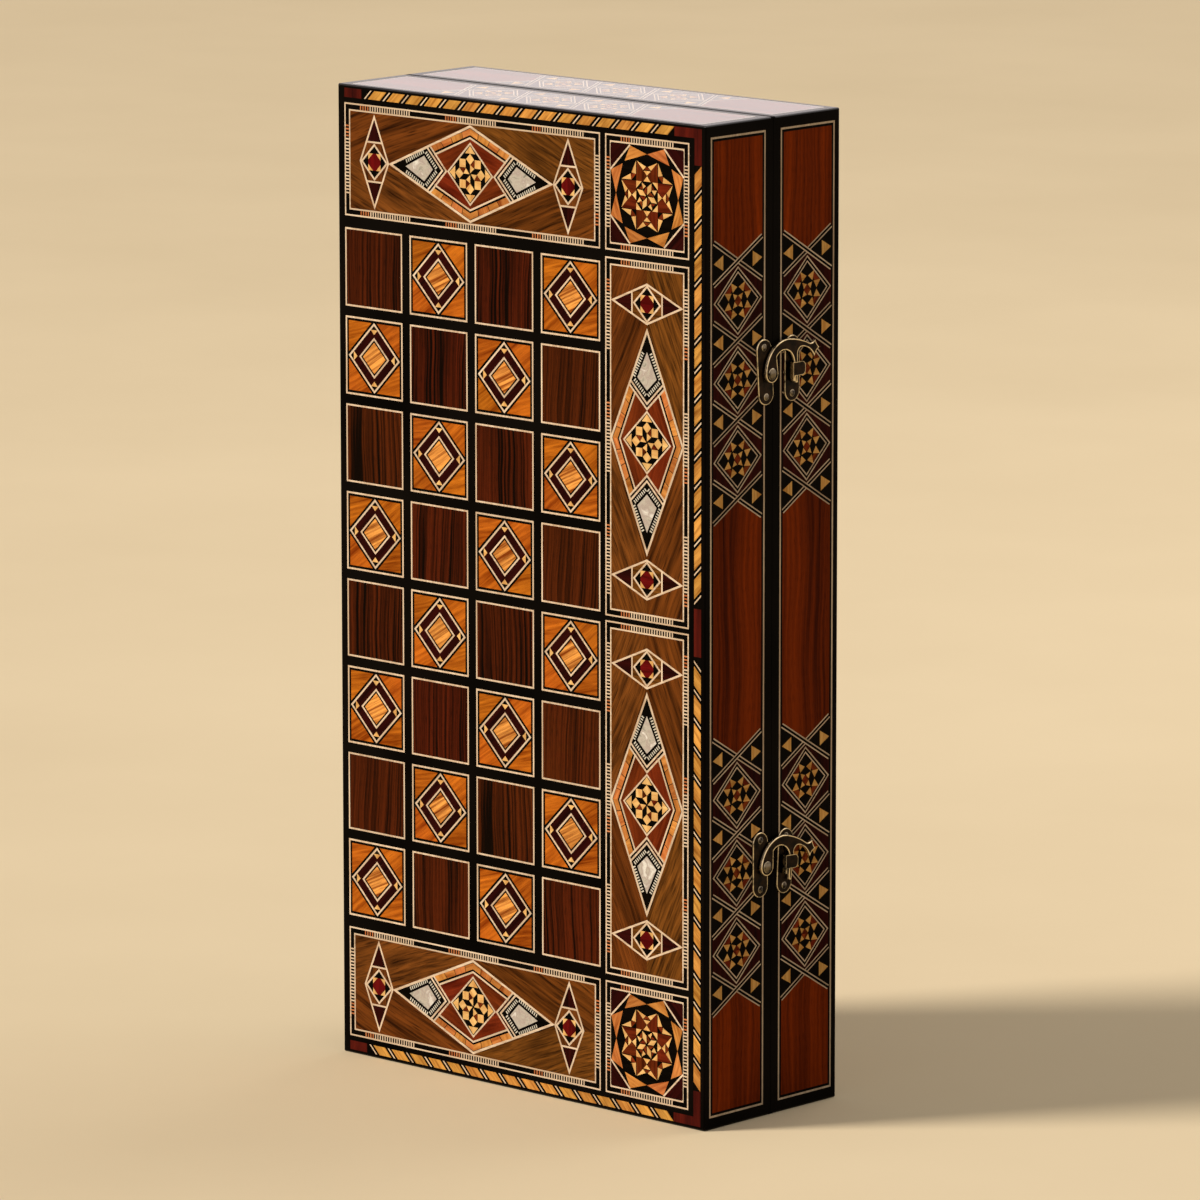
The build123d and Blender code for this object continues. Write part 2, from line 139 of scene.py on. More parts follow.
# %% [markdown]
# A material or a Geometry Nodes tree is a chain of nodes. Written out node by node it hides the
# idea, so a small class stands for one socket: sums and products of it add the Math nodes, and
# one method adds any other node from its type, its settings and what goes into its sockets.

# %% A socket that can be reckoned with
class Term:
    """One socket of a node tree. Python's operators on it add Math nodes."""

    def __init__(self, tree, socket=None):
        self.tree = tree
        self.socket = socket

    def feed(self, sockets, values):
        """Links each value that is a Term to its socket, and writes any other one there."""
        for key, value in values.items():
            if isinstance(value, Term):
                self.tree.links.new(value.socket, sockets[key])
            else:
                sockets[key].default_value = value

    def node(self, kind, settings=None, inputs=None, output=0):
        made = self.tree.nodes.new(kind)
        settings = dict(settings or {})
        for number, (place, colour) in enumerate(settings.pop("stops", [])):
            ramp = made.color_ramp.elements
            stop = ramp[number] if number < len(ramp) else ramp.new(place)
            stop.position = place
            stop.color = colour
        for name, value in settings.items():
            setattr(made, name, value)
        self.feed(made.inputs, inputs or {})
        return Term(self.tree, made.outputs[output] if len(made.outputs) else None)

    def also(self, output):
        """Another output of the same node."""
        return Term(self.tree, self.socket.node.outputs[output])

    def math(self, operation, *others):
        return self.node("ShaderNodeMath", {"operation": operation}, dict(enumerate(others)))

    def __add__(self, other):
        return self.math("ADD", self, other)

    def __mul__(self, other):
        return self.math("MULTIPLY", self, other)

    def __sub__(self, other):
        return self.math("SUBTRACT", self, other)

    def __rsub__(self, other):
        return self.math("SUBTRACT", other, self)

    def __truediv__(self, other):
        return self.math("DIVIDE", self, other)

    def __mod__(self, other):
        return self.math("MODULO", self, other)

    def __gt__(self, other):
        return self.math("GREATER_THAN", self, other)

    def __lt__(self, other):
        return self.math("LESS_THAN", self, other)

    def __abs__(self):
        return self.math("ABSOLUTE", self)

    __radd__ = __add__
    __rmul__ = __mul__

    def whole(self):
        return self.math("FLOOR", self)

    def between(self, low, high):
        """0 below low, 1 above high, and an even slope between them."""
        return self.node("ShaderNodeMapRange", {}, {"Value": self, "From Min": low, "From Max": high})

    def mix(self, first, second):
        """A colour: first where this is 0, second where it is 1."""
        return self.node("ShaderNodeMix", {"data_type": "RGBA"}, {0: self, 6: first, 7: second}, 2)

    def place(self):
        """Object coordinates."""
        return self.node("ShaderNodeTexCoord", {}, {}, 3)

    def parts(self, vector):
        return self.node("ShaderNodeSeparateXYZ", {}, {0: vector})

    def vector(self, *parts):
        return self.node("ShaderNodeCombineXYZ", {}, dict(enumerate(parts)))

    def noise(self, place, scale, detail, **more):
        inputs = {"Vector": place, "Scale": scale, "Detail": detail, **more}
        return self.node("ShaderNodeTexNoise", {}, inputs)

    def attribute(self, name):
        return self.node("ShaderNodeAttribute", {"attribute_name": name}, {}, 2)


def shade(red, green, blue):
    """A colour as it is read off a screen, 0 to 255, made linear."""
    def linear(part):
        share = part / 255
        return share / 12.92 if share <= 0.04045 else ((share + 0.055) / 1.055) ** 2.4
    return (linear(red), linear(green), linear(blue), 1.0)


print("one class for nodes")

# %% [markdown]
# Every finish ends in the same shader. A new material starts with one, and this cell joins a
# colour, a roughness and the fine relief of the surface to it.

# %% From a colour to a finish
GLOSS = 0.012
METAL_GLOSS = 0.5
COAT_ROUGH = 0.12
RELIEF = 0.35


def new_material(name):
    """A material, and a Term to start its nodes from."""
    material = bpy.data.materials.new(name)
    material.use_nodes = True
    return material, Term(material.node_tree)


def finish_surface(material, colour, rough, coat, relief=None, height=0.02, metal=0.0):
    """Joins what varies over a surface to the shader that stands in every material."""
    start = Term(material.node_tree)
    sockets = material.node_tree.nodes["Principled BSDF"].inputs
    values = {"Base Color": colour, "Roughness": rough, "Coat Weight": coat, "Coat Roughness": COAT_ROUGH,
              "Metallic": metal, "Specular IOR Level": METAL_GLOSS if metal else GLOSS}
    if relief is not None:
        bump = {"Strength": RELIEF, "Distance": height * MM, "Height": relief}
        values["Normal"] = start.node("ShaderNodeBump", {}, bump)
    start.feed(sockets, values)
    return material


print("coat roughness", COAT_ROUGH)

# %% [markdown]
# The outside of the case is ebonised, and the top and the foot carry a thick, glossy lacquer.
# One material has to tell the outer faces of a rail from its bare inner ones, so it looks at
# where a point lies on the case.

# %% Black outside, lacquer at the ends
LACQUER = 0.015
END_LACQUER = 0.5
BLACK_BAND = 0.6
LACQUER_BAND = 0.8
WORN_SEAM = 1.7


def near_end(parts, band):
    """1 within a band of the top or the foot."""
    return abs(parts.also(2) - CASE_HIGH / 2 * MM) > (CASE_HIGH / 2 - band) * MM


def outside_mask(start):
    """1 on the outer faces of a rail, 0 on its seam and inner faces."""
    parts = start.parts(start.place())
    side = abs(parts) > (CASE_WIDE / 2 - BLACK_BAND) * MM
    return start.math("MAXIMUM", side, near_end(parts, BLACK_BAND))


def end_polish(start):
    """More lacquer on the top and the foot of the case, except along the seam, which use has thinned."""
    parts = start.parts(start.place())
    clear = abs(parts.also(1)) > WORN_SEAM * MM
    return near_end(parts, LACQUER_BAND) * clear * END_LACQUER + LACQUER


def ebony_shade(start):
    smear = start.noise(start.place(), 14.0, 3.0)
    return smear.between(0.35, 0.7).mix(shade(2, 1, 0), shade(13, 9, 6))


def ebonised(name):
    material, start = new_material(name)
    fibres = start.node("ShaderNodeMapping", {}, {0: start.place(), "Scale": (900.0, 900.0, 30.0)})
    fine = start.noise(fibres, 1.0, 2.0)
    return finish_surface(material, ebony_shade(start), fine * 0.15 + 0.3, end_polish(start), fine)


print("lacquer", LACQUER, "and", END_LACQUER)

# %% [markdown]
# Every tessera is a sawn slip of veneer, and its grain runs its own way. So each mesh carries a
# UV map named grain: across and along the fibres, with a whole number added for each tessera.
# The material stretches its noise along the fibres, and takes a shade for each slip from the
# whole number. Solid rails have no such map, and read Object coordinates along their length.

# %% Wood
GRAIN = "grain"
PIECE = "piece"
CELL = 250.0
SHUFFLE = 37.0
TO_MM = 1000.0
SKEW = 0.73


def across_and_along(start, along):
    """Millimetres across and along the fibres, and a random number for each slip."""
    if along:
        place = start.parts(start.place())
        axis = "xyz".index(along)
        first, second = (place.also(k) for k in range(3) if k != axis)
        return first * TO_MM + second * (TO_MM * SKEW), place.also(axis) * TO_MM, None
    place = start.parts(start.node("ShaderNodeUVMap", {"uv_map": GRAIN}))
    copy = start.attribute(PIECE)
    u, v = place + (copy * SHUFFLE).whole(), place.also(1)
    cell = start.vector((u + 0.5).whole(), (v + 0.5).whole(), copy)
    chance = start.node("ShaderNodeTexWhiteNoise", {"noise_dimensions": "3D"}, {"Vector": cell})
    return u * CELL, v * CELL, chance


def wood(name, dark, light, along=None, band=4.0, reach=60.0, wander=1.0, tone=0.25, pores=0.35, rough=0.4,
         coat=LACQUER, contrast=1.0, broad=0.35, hue=0.0, grit=1.0, rails=False):
    """Veneer or solid wood: streaks of two shades along the fibres, pores, and a shade for each slip."""
    material, start = new_material(name)
    across, lengthwise, chance = across_and_along(start, along)
    drift = start.noise(start.vector(across * 0.02, lengthwise * 0.012, 3.0), 1.0, 2.0)
    bent = across + (drift - 0.5) * (wander * 10.0)

    def fibres(wide, long, layer, detail):
        return start.noise(start.vector(bent / wide, lengthwise / long, layer), 1.0, detail)

    streak = fibres(band, reach, 0.0, 4.0) * (1.0 - broad) + fibres(band * 4.5, reach * 2.5, 9.0, 1.0) * broad
    fine = fibres(0.3 * grit, 6.0 * grit, 7.0, 1.0)
    spread = 0.15 / contrast
    colour = streak.between(0.5 - spread, 0.5 + spread).mix(shade(*dark), shade(*light))
    pore = fine.between(0.55, 0.75) * pores
    turned = {"Hue": 0.5, "Value": 1.0 - pore, "Color": colour}
    if chance is not None:
        turned["Value"] = turned["Value"] * (1.0 - tone / 2 + chance * tone)
        turned["Hue"] = (chance * SHUFFLE % 1.0 - 0.5) * hue + 0.5
    colour = start.node("ShaderNodeHueSaturation", {}, turned)
    if rails:
        colour = outside_mask(start).mix(colour, ebony_shade(start))
        coat = end_polish(start)
    return finish_surface(material, colour, rough + pore * 0.4, coat, fine)


print("grain map named", GRAIN)

# %% [markdown]
# The woods of such work are few: a pale stringing wood, ebonised black, orange and yellow woods,
# a maroon and a red one, walnut, a dark rosewood and a red-brown one for the long fields. Two
# shades each, written as they look in the photograph, and a size for their figure.

# %% Veneers
def veneers(prefix, coat):
    """The woods of the inlay, under a coat of lacquer."""
    def veneer(name, dark, light, **figure):
        return wood(prefix + name, dark, light, coat=coat, **figure)
    return {
        "cream": veneer("cream_stringing", (190, 160, 128), (234, 210, 180), band=1.2, tone=0.2, pores=0.15),
        "black": veneer("ebonised_stringing", (2, 1, 0), (11, 7, 4), band=2.0, tone=0.3, rough=0.35),
        "amber": veneer("amber_wood", (126, 52, 4), (206, 112, 28), band=1.9, reach=30, tone=0.3, hue=0.012),
        "honey": veneer("honey_wood", (130, 58, 12), (248, 168, 80), band=1.5, contrast=1.3, broad=0.2,
                        pores=0.5),
        "orange": veneer("orange_wood", (150, 78, 28), (220, 144, 74), band=2.0, reach=22, tone=0.35,
                         hue=0.02),
        "yellow": veneer("yellow_wood", (204, 146, 78), (240, 196, 126), band=2.0, reach=18, pores=0.2),
        "maroon": veneer("maroon_wood", (22, 3, 2), (52, 10, 7), band=2.0, reach=34, tone=0.4),
        "red": veneer("red_wood", (66, 17, 3), (128, 50, 18), band=2.4, reach=26, tone=0.5, hue=0.012),
        "walnut": veneer("figured_walnut", (34, 14, 2), (132, 76, 27), band=1.5, reach=20, wander=0.8,
                         tone=0.12, hue=0.012, broad=0.4, contrast=0.9, pores=0.75, grit=2.2),
        # The walnut of alternate quarters: its own straighter figure, and darker, a painted shade for the way
        # light falls on mirrored grain.
        "shaded_walnut": veneer("shaded_walnut", (30, 10, 1), (122, 66, 21), band=1.7, reach=50,
                                wander=0.6, tone=0.12, hue=0.012, broad=0.5, pores=0.75, grit=2.2),
        "rosewood": veneer("dark_rosewood", (12, 4, 1), (82, 31, 8), band=1.7, reach=170, tone=0.14,
                           hue=0.012, contrast=1.7, broad=0.3, pores=0.6),
        "sapele": veneer("red_brown_wood", (50, 11, 0), (132, 48, 3), band=2.6, reach=170, tone=0.15,
                         contrast=0.9, broad=0.45, pores=0.5),
        "rope": veneer("rope_wood", (142, 82, 26), (226, 162, 78), band=1.6, reach=20, tone=0.4, hue=0.014),
        "rust": veneer("rust_wood", (176, 96, 52), (216, 140, 88), band=1.4, tone=0.4),
        "crimson": veneer("crimson_wood", (62, 5, 4), (108, 14, 14), band=2.0, reach=30, tone=0.3),
    }


woods = veneers("", LACQUER)
polished = veneers("polished_", 1.0)
# Darker copies of the pale stringing and the yellow wood for the latched side: a painted shade, since that
# side lies away from the key light.
painted_shade_woods = {**woods, "cream": wood("painted_shade_stringing", (158, 134, 110), (200, 180, 154), band=1.2, tone=0.2),
        "yellow": wood("painted_shade_yellow_wood", (168, 116, 54), (206, 160, 92), band=2.0, reach=18)}
print(len(woods), "woods")

# %% [markdown]
# Mother of pearl isn't wood: it is a cloudy silver that turns pink and green in places. A soft
# noise picks between pale tints, and a low roughness under a strong coat gives the wet shine. The
# white teeth around it are bone, nearly plain.

# %% Pearl and bone
def shell(name, tints, scale, rough):
    material, start = new_material(name)
    cloud = start.noise(start.place(), scale, 3.0, Distortion=1.2)
    stops = [(0.3 + 0.4 * i / (len(tints) - 1), shade(*tint)) for i, tint in enumerate(tints)]
    colour = start.node("ShaderNodeValToRGB", {"stops": stops}, {0: cloud})
    return finish_surface(material, colour, cloud * 0.2 + rough, 0.8, cloud, 0.03)


PEARL_TINTS = [(132, 127, 116), (190, 181, 165), (174, 158, 147), (226, 220, 207)]
woods["pearl"] = shell("mother_of_pearl", PEARL_TINTS, 160.0, 0.12)
woods["bone"] = shell("white_bone", [(186, 178, 160), (220, 212, 194)], 90.0, 0.3)
print("pearl and bone")

# %% [markdown]
# Shapes of the marquetry are lists of corners. These helpers draw the few that come back
# everywhere: rectangle, square, rhombus, a strip along a line, and a shape drawn in by a strip's
# width. A slip is such a shape with the name of its wood and the way of its grain, in degrees.

# %% Flat shapes
def rectangle(a, b, wide, high):
    return [(a, b), (a + wide, b), (a + wide, b + high), (a, b + high)]


def square(half):
    return rectangle(-half, -half, 2 * half, 2 * half)


def rhombus(half_a, half_b, a=0.0, b=0.0):
    return [(a + half_a, b), (a, b + half_b), (a - half_a, b), (a, b - half_b)]


def strip(start, end, width):
    start, end = Vector(start), Vector(end)
    run = end - start
    side = Vector((-run.y, run.x)).normalized() * width / 2
    return [tuple(corner) for corner in (start - side, end - side, end + side, start + side)]


def area(points):
    pairs = zip(points, points[1:] + points[:1])
    return sum(p[0] * q[1] - q[0] * p[1] for p, q in pairs) / 2


def drawn_in(points, width):
    """The same outward-bulging shape with each edge moved in by width."""
    lines = []
    for p, q in zip(points, points[1:] + points[:1]):
        along = (Vector(q) - Vector(p)).normalized()
        lines.append((Vector(p) + Vector((-along.y, along.x)) * width, along))
    corners = []
    for (p, d), (q, e) in zip(lines[-1:] + lines[:-1], lines):
        corners.append(tuple(p + d * ((q - p).cross(e) / d.cross(e))))
    return corners


def moved(slips, at=(0.0, 0.0), turned=0.0, flip_a=False, flip_b=False):
    """Slips of a pattern flipped, then turned in degrees, then moved."""
    c, s = cos(radians(turned)), sin(radians(turned))
    made = []
    for points, name, grain in slips:
        flipped = [(-a if flip_a else a, -b if flip_b else b) for a, b in points]
        angle = 180 - grain if flip_a else grain
        angle = -angle if flip_b else angle
        corners = [(at[0] + a * c - b * s, at[1] + a * s + b * c) for a, b in flipped]
        made.append((corners, name, angle + turned))
    return made


def both_ways(slips):
    """A pattern and its three mirror images."""
    return [slip for a in (False, True) for b in (False, True) for slip in moved(slips, flip_a=a, flip_b=b)]


def four_turns(slips):
    return [slip for k in range(4) for slip in moved(slips, turned=90.0 * k)]


print("flat shapes")

# %% [markdown]
# How is marquetry made in Blender? A texture would lose its edges close up, and a solid for each
# slip would leave gaps. Here slips are laid one over another on paper, as a painter would, and a
# planar triangulation then cuts them all against each other. Each triangle takes the wood of
# the top slip over it, so the result is one watertight slab in which neighbours share edges.

# %% Cutting the slips into one slab
WOOD_NUMBER = "wood_number"
GRAIN_CELLS = 60
chance = random.Random(41)


def cut_flat(slips):
    """The corners and triangles of slips cut against each other, and the top slip over each triangle."""
    corners = []
    rings = []
    for points, _, _ in slips:
        rings.append(list(range(len(corners), len(corners) + len(points))))
        corners += [Vector(point) for point in (points if area(points) > 0 else points[::-1])]
    flat, _, triangles, _, _, owners = delaunay_2d_cdt(corners, [], rings, 1, 0.002)
    kept = []
    for triangle, owner in zip(triangles, owners):
        if 0 in owner:
            clockwise = area([tuple(flat[i]) for i in triangle]) < 0
            kept.append((list(triangle)[::-1] if clockwise else list(triangle), max(owner)))
    return flat, kept


def slab(name, slips, deep=INLAY_DEEP, sunk=INLAY_SUNK, palette=woods):
    """One closed slab from slips laid in order. The first slip is its outline."""
    flat, triangles = cut_flat(slips)
    count = len(flat)
    faces = []
    owned = []
    sides = {}
    for t, owner in triangles:
        faces += [t, [i + count for i in reversed(t)]]
        owned += [owner, owner]
        for edge in zip(t, t[1:] + t[:1]):
            sides[edge] = owner
    for (p, q), owner in sides.items():
        if (q, p) not in sides:
            faces.append([q, p, p + count, q + count])
            owned.append(owner)
    vertices = [(p.x, p.y, -depth) for depth in (sunk, deep) for p in flat]
    names = list(dict.fromkeys(wood_name for _, wood_name, _ in slips))
    mesh = new_mesh(name, vertices, [], faces, [palette[wood_name] for wood_name in names])
    grains = []
    for points, _, grain in slips:
        cell = (chance.randrange(GRAIN_CELLS), chance.randrange(GRAIN_CELLS))
        middle = [sum(part) / len(points) for part in zip(*points)]
        grains.append((middle, cos(radians(grain)), sin(radians(grain)), cell))
    grain_map = mesh.uv_layers.new(name=GRAIN)
    numbers = mesh.attributes.new(WOOD_NUMBER, "FLOAT", "FACE")
    for polygon, owner in zip(mesh.polygons, owned):
        polygon.material_index = names.index(slips[owner][1])
        numbers.data[polygon.index].value = polygon.material_index
        (a, b), c, s, cell = grains[owner]
        for loop in polygon.loop_indices:
            x, y, _ = mesh.vertices[mesh.loops[loop].vertex_index].co
            along = (x - a) * c + (y - b) * s
            across = (y - b) * c - (x - a) * s
            grain_map.data[loop].uv = (across / CELL + cell[0], along / CELL + cell[1])
    work = bmesh.new()
    work.from_mesh(mesh)
    bmesh.ops.delete(work, geom=[v for v in work.verts if not v.link_faces], context="VERTS")
    work.to_mesh(mesh)
    work.free()
    return mesh


print("slab cutter")

# %% [markdown]
# What repeats is laid by Geometry Nodes. Three trees share one way: a slip goes bare on points,
# its faces carry the number of their wood, and the last nodes of the tree give each number its
# material. The first tree lays slips along runs: each edge of a mesh is a run, resampled at an
# even pitch, and the slip is turned along it. It makes the piano-key banding of the frames, the
# teeth round the pearl, the slanted rope and the points of the playing field.

# %% Trees of Geometry Nodes
SLIP_WOODS = 8
NEARLY = 0.999


def new_tree(name, sizes):
    """A tree with named inputs, and the Term of each."""
    tree = bpy.data.node_groups.new(name, "GeometryNodeTree")
    inputs = {"Geometry": "Geometry", "Slip": "Object", **sizes}
    inputs.update({f"Wood {number}": "Material" for number in range(SLIP_WOODS)})
    for label, kind in inputs.items():
        tree.interface.new_socket(label, in_out="INPUT", socket_type="NodeSocket" + kind)
    tree.interface.new_socket("Geometry", in_out="OUTPUT", socket_type="NodeSocketGeometry")
    source = Term(tree).node("NodeGroupInput")
    return tree, {label: source.also(label) for label in inputs}


def close_tree(given, points, laying):
    """Lays the slip on points, makes it real and gives each face the wood of its number."""
    start = given["Slip"]
    slip = start.node("GeometryNodeObjectInfo", {}, {"Object": start}, "Geometry")
    laid = start.node("GeometryNodeInstanceOnPoints", {}, {"Points": points, "Instance": slip, **laying})
    random_piece = start.node("FunctionNodeRandomValue", {}, {"Seed": 7}, 1)
    numbered = {"Geometry": laid, "Name": PIECE, "Value": random_piece}
    store = {"data_type": "FLOAT", "domain": "INSTANCE"}
    stored = start.node("GeometryNodeStoreNamedAttribute", store, numbered)
    made = start.node("GeometryNodeRealizeInstances", {}, {"Geometry": stored})
    number = start.node("GeometryNodeInputNamedAttribute", {"data_type": "FLOAT"}, {"Name": WOOD_NUMBER})
    for k in range(SLIP_WOODS):
        chosen = (number > k - 0.5) * (number < k + 0.5)
        finish = {"Geometry": made, "Selection": chosen, "Material": given[f"Wood {k}"]}
        made = start.node("GeometryNodeSetMaterial", {}, finish)
    start.node("NodeGroupOutput", {}, {"Geometry": made})


def plain_copy(holder, **kept):
    """What an object's modifiers make, as a plain mesh."""
    graph = bpy.context.evaluated_depsgraph_get()
    return bpy.data.meshes.new_from_object(holder.evaluated_get(graph), depsgraph=graph, **kept)


def grown(name, tree, mesh, slip, settings):
    """Lets a tree lay a slip on a mesh, and gives the result as a plain mesh."""
    bare = slip.copy()
    bare.materials.clear()
    tool, holder = placed(name + "_slip", bare), placed(name, mesh)
    modifier = holder.modifiers.new("laying", "NODES")
    modifier.node_group = tree
    values = {"Slip": tool, **settings}
    values.update({f"Wood {number}": finish for number, finish in enumerate(slip.materials)})
    for item in tree.interface.items_tree:
        if item.in_out == "INPUT" and item.name in values:
            modifier[item.identifier] = values[item.name]
    made = plain_copy(holder, preserve_all_data_layers=True)
    for thing in (tool, holder):
        bpy.data.objects.remove(thing)
    return made


def run_tree():
    tree, given = new_tree("slips_along_runs", {"Pitch": "Float"})
    start = given["Geometry"]
    lines = start.node("GeometryNodeMeshToCurve", {}, {"Mesh": start})
    pitched = {"Curve": lines, "Length": given["Pitch"]}
    points = start.node("GeometryNodeResampleCurve", {"mode": "LENGTH"}, pitched)
    tangent = start.node("GeometryNodeInputTangent")
    pivot = {"axis": "X", "pivot_axis": "Z"}
    turned = start.node("FunctionNodeAlignRotationToVector", pivot, {"Vector": tangent})
    close_tree(given, points, {"Rotation": turned})
    return tree


slips_along_runs = run_tree()


def laid_along(name, runs, slip, pitch):
    """A slip laid at a pitch along each run, given as pairs of points."""
    points = [(a, b, 0.0) for run in runs for a, b in run]
    mesh = new_mesh(name, points, [(2 * i, 2 * i + 1) for i in range(len(runs))])
    return grown(name, slips_along_runs, mesh, slip, {"Pitch": pitch * NEARLY})


print("tree", slips_along_runs.name)

# %% [markdown]
# A finished piece is many flat meshes, each taken to its face of the case by a matrix. The back
# half mirrors the front one, and a mirror turns a mesh inside out, so its faces are turned back.

# %% From flat work to the case
def face(origin, a_axis, b_axis, out):
    """Takes a flat pattern in millimetres to a face of the case in metres."""
    turned_axes = Matrix((a_axis, b_axis, out)).transposed()
    return Matrix.Translation(Vector(origin) * MM) @ (turned_axes * MM).to_4x4()


def on_front(half, u, z, foot=False):
    """The outer face of a half, from a point given from the hinge side and the foot."""
    up, height = (-1, CASE_HIGH - z) if foot else (1, z)
    side = OUTWARD[half]
    return face((u - CASE_WIDE / 2, side * CASE_DEEP / 2, height), (1, 0, 0), (0, 0, up), (0, side, 0))


def joined(parts):
    """Flat meshes and their matrices as one mesh."""
    work = bmesh.new()
    finishes = []
    for mesh, matrix in parts:
        part = mesh.copy()
        for polygon in part.polygons:
            finish = mesh.materials[polygon.material_index]
            if finish not in finishes:
                finishes.append(finish)
            polygon.material_index = finishes.index(finish)
        part.transform(matrix)
        if matrix.determinant() < 0:
            part.flip_normals()
        work.from_mesh(part)
        bpy.data.meshes.remove(part)
    return mesh_of(work, "joined", finishes)


def piece(name, parts, body, slot, *nodes):
    """A shown piece on a body, in place of its CAD nodes."""
    mesh = joined(parts)
    mesh.name = name
    made = placed(name, mesh)
    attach(made, body)
    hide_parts(*nodes)
    print(name, len(mesh.polygons), "faces")


def half_piece(half, name, parts, slot, node):
    piece(f"{half}_{name}", parts, half + "_half", slot, f"{half}_{node}")


print("faces of the case")

# %% [markdown]
# The light squares of the chessboard: a tile framed in stringing, four orange corners, and two
# rhombi drawn with pale lines round a maroon band. Each point of the band has a black tip and a
# small yellow triangle. One tile is cut, and a tree lays it on every second square. The dark
# squares are rosewood in a pale string, laid on the others by the same tree.

# %% Squares of the chessboard
DARK_STRING = 0.9


def light_square():
    outline = square(SQUARE / 2)
    slips = [(outline, "cream", 90), (drawn_in(outline, 0.95), "black", 90)]
    for k in range(4):
        corner = [(17.8, 17.8), (17.8, 1.9), (1.9, 17.8)]
        slips += moved([(corner, "amber", 35 + 70 * (k % 2))], turned=90.0 * k)
    slips += [(rhombus(18.0, 18.0), "cream", 45), (rhombus(16.6, 16.6), "maroon", 45)]
    slips += four_turns([([(0.0, 16.6), (-2.1, 14.5), (2.1, 14.5)], "black", 0),
                         ([(0.0, 11.9), (2.4, 14.4), (-2.4, 14.4)], "yellow", 90)])
    for half, name, grain in ((10.5, "cream", 45), (9.2, "black", 45), (8.0, "honey", 28)):
        slips.append((rhombus(half, half), name, grain))
    return slips


def checkered_tree():
    """Lays a tile on every second square of a board, from its lower left square."""
    tree, given = new_tree("tiles_on_every_second_square", {
        "Columns": "Int", "Rows": "Int", "Pitch across": "Float", "Pitch up": "Float", "First": "Int"})
    columns, rows = given["Columns"], given["Rows"]
    wide, high = (columns - 1.0) * given["Pitch across"], (rows - 1.0) * given["Pitch up"]
    sizes = {"Size X": wide, "Size Y": high, "Vertices X": columns, "Vertices Y": rows}
    grid = columns.node("GeometryNodeMeshGrid", {}, sizes)
    corner = columns.vector(wide * 0.5, high * 0.5)
    points = columns.node("GeometryNodeTransform", {}, {"Geometry": grid, "Translation": corner})
    number = columns.node("GeometryNodeInputIndex")
    column = (number / rows).whole()
    row = number - column * rows
    close_tree(given, points, {"Selection": (column + row + given["First"]) % 2.0 < 0.5})
    return tree


board = {"Columns": 4, "Rows": 8, "Pitch across": SQUARE_PITCH_U, "Pitch up": SQUARE_PITCH_Z}
lowest_row = SQUARES_TOP - (board["Rows"] - 1) * SQUARE_PITCH_Z - SQUARE / 2
every_second = checkered_tree()
light_tile = slab("light_tile", light_square())
dark_field = square(SQUARE / 2 - DARK_STRING)
dark_tile = slab("dark_tile", [(square(SQUARE / 2), "cream", 90), (dark_field, "rosewood", 90)])
for light_first, half in enumerate(OUTWARD):
    at_corner = on_front(half, SQUARES_U + SQUARE / 2, lowest_row)
    for kind, tile, first in (("light", light_tile, light_first), ("dark", dark_tile, 1 - light_first)):
        laid = grown(f"{half}_{kind}_board", every_second, new_mesh(kind), tile, {**board, "First": first})
        half_piece(half, kind + "_tiles", [(laid, at_corner)], kind + "_square", kind + "_squares")

# %% [markdown]
# Every panel has the same frame: a pale line, a black band and a second pale line. Stretches of
# the band are piano keys, short pale bars with black between them, which the first tree lays.
# Three stretches of keys lie along a long side, and one in the middle of a short one.

# %% Frames with piano keys
FRAME_WIDE = 4.0
KEY_LONG = 34.0
KEY_PITCH = 1.7
KEYS_FROM_CORNER = 11.4
KEY_DEEP = 0.4
SHORT_SIDE = 100.0


def bar(name, wide, high, wood_name):
    """One short bar to lay along a run."""
    return slab(name, [(rectangle(-wide / 2, -high / 2, wide, high), wood_name, 90)], KEY_DEEP, 0.0)


key_slips = {wood_name: bar("key", 0.7, 2.3, wood_name) for wood_name in ("cream", "rust")}


def framed(wide, high, inside):
    outline = rectangle(0.0, 0.0, wide, high)
    return [(outline, "cream", 0), (drawn_in(outline, 0.8), "black", 0), (drawn_in(outline, 3.2), "cream", 0),
            (drawn_in(outline, FRAME_WIDE), inside, 0)]


def stretches(length):
    """Where stretches of keys start along a side."""
    middle = length / 2 - KEY_LONG / 2
    if length < SHORT_SIDE:
        return [middle]
    return [KEYS_FROM_CORNER, middle, length - KEYS_FROM_CORNER - KEY_LONG]


def key_runs(wide, high):
    """Runs of keys round a panel: a few rust ones at an end of each stretch, and pale ones."""
    centre = FRAME_WIDE / 2
    runs = {"cream": [], "rust": []}
    for length, other, upright in ((wide, high, False), (high, wide, True)):
        for number, low in enumerate(stretches(length)):
            end = low + KEY_LONG
            few = (4 + number % 2) * KEY_PITCH
            for across in (centre, other - centre):
                shares = [("rust", low, low + few - KEY_PITCH), ("cream", low + few, end)]
                if upright and across == centre:
                    shares = [("cream", low, end - few), ("rust", end - few + KEY_PITCH, end)]
                for finish, first, last in shares:
                    ends = ((across, first), (across, last)) if upright else ((first, across), (last, across))
                    runs[finish].append(ends)
    return runs


print("keys at", KEY_PITCH, "mm")

# %% [markdown]
# The spindles at the ends of a panel are thin rhombi with maroon points, and a small rhombus in
# the middle that holds a red octagon between four yellow corners.

# %% Spindle
SPINDLE_WAIST = 9.6


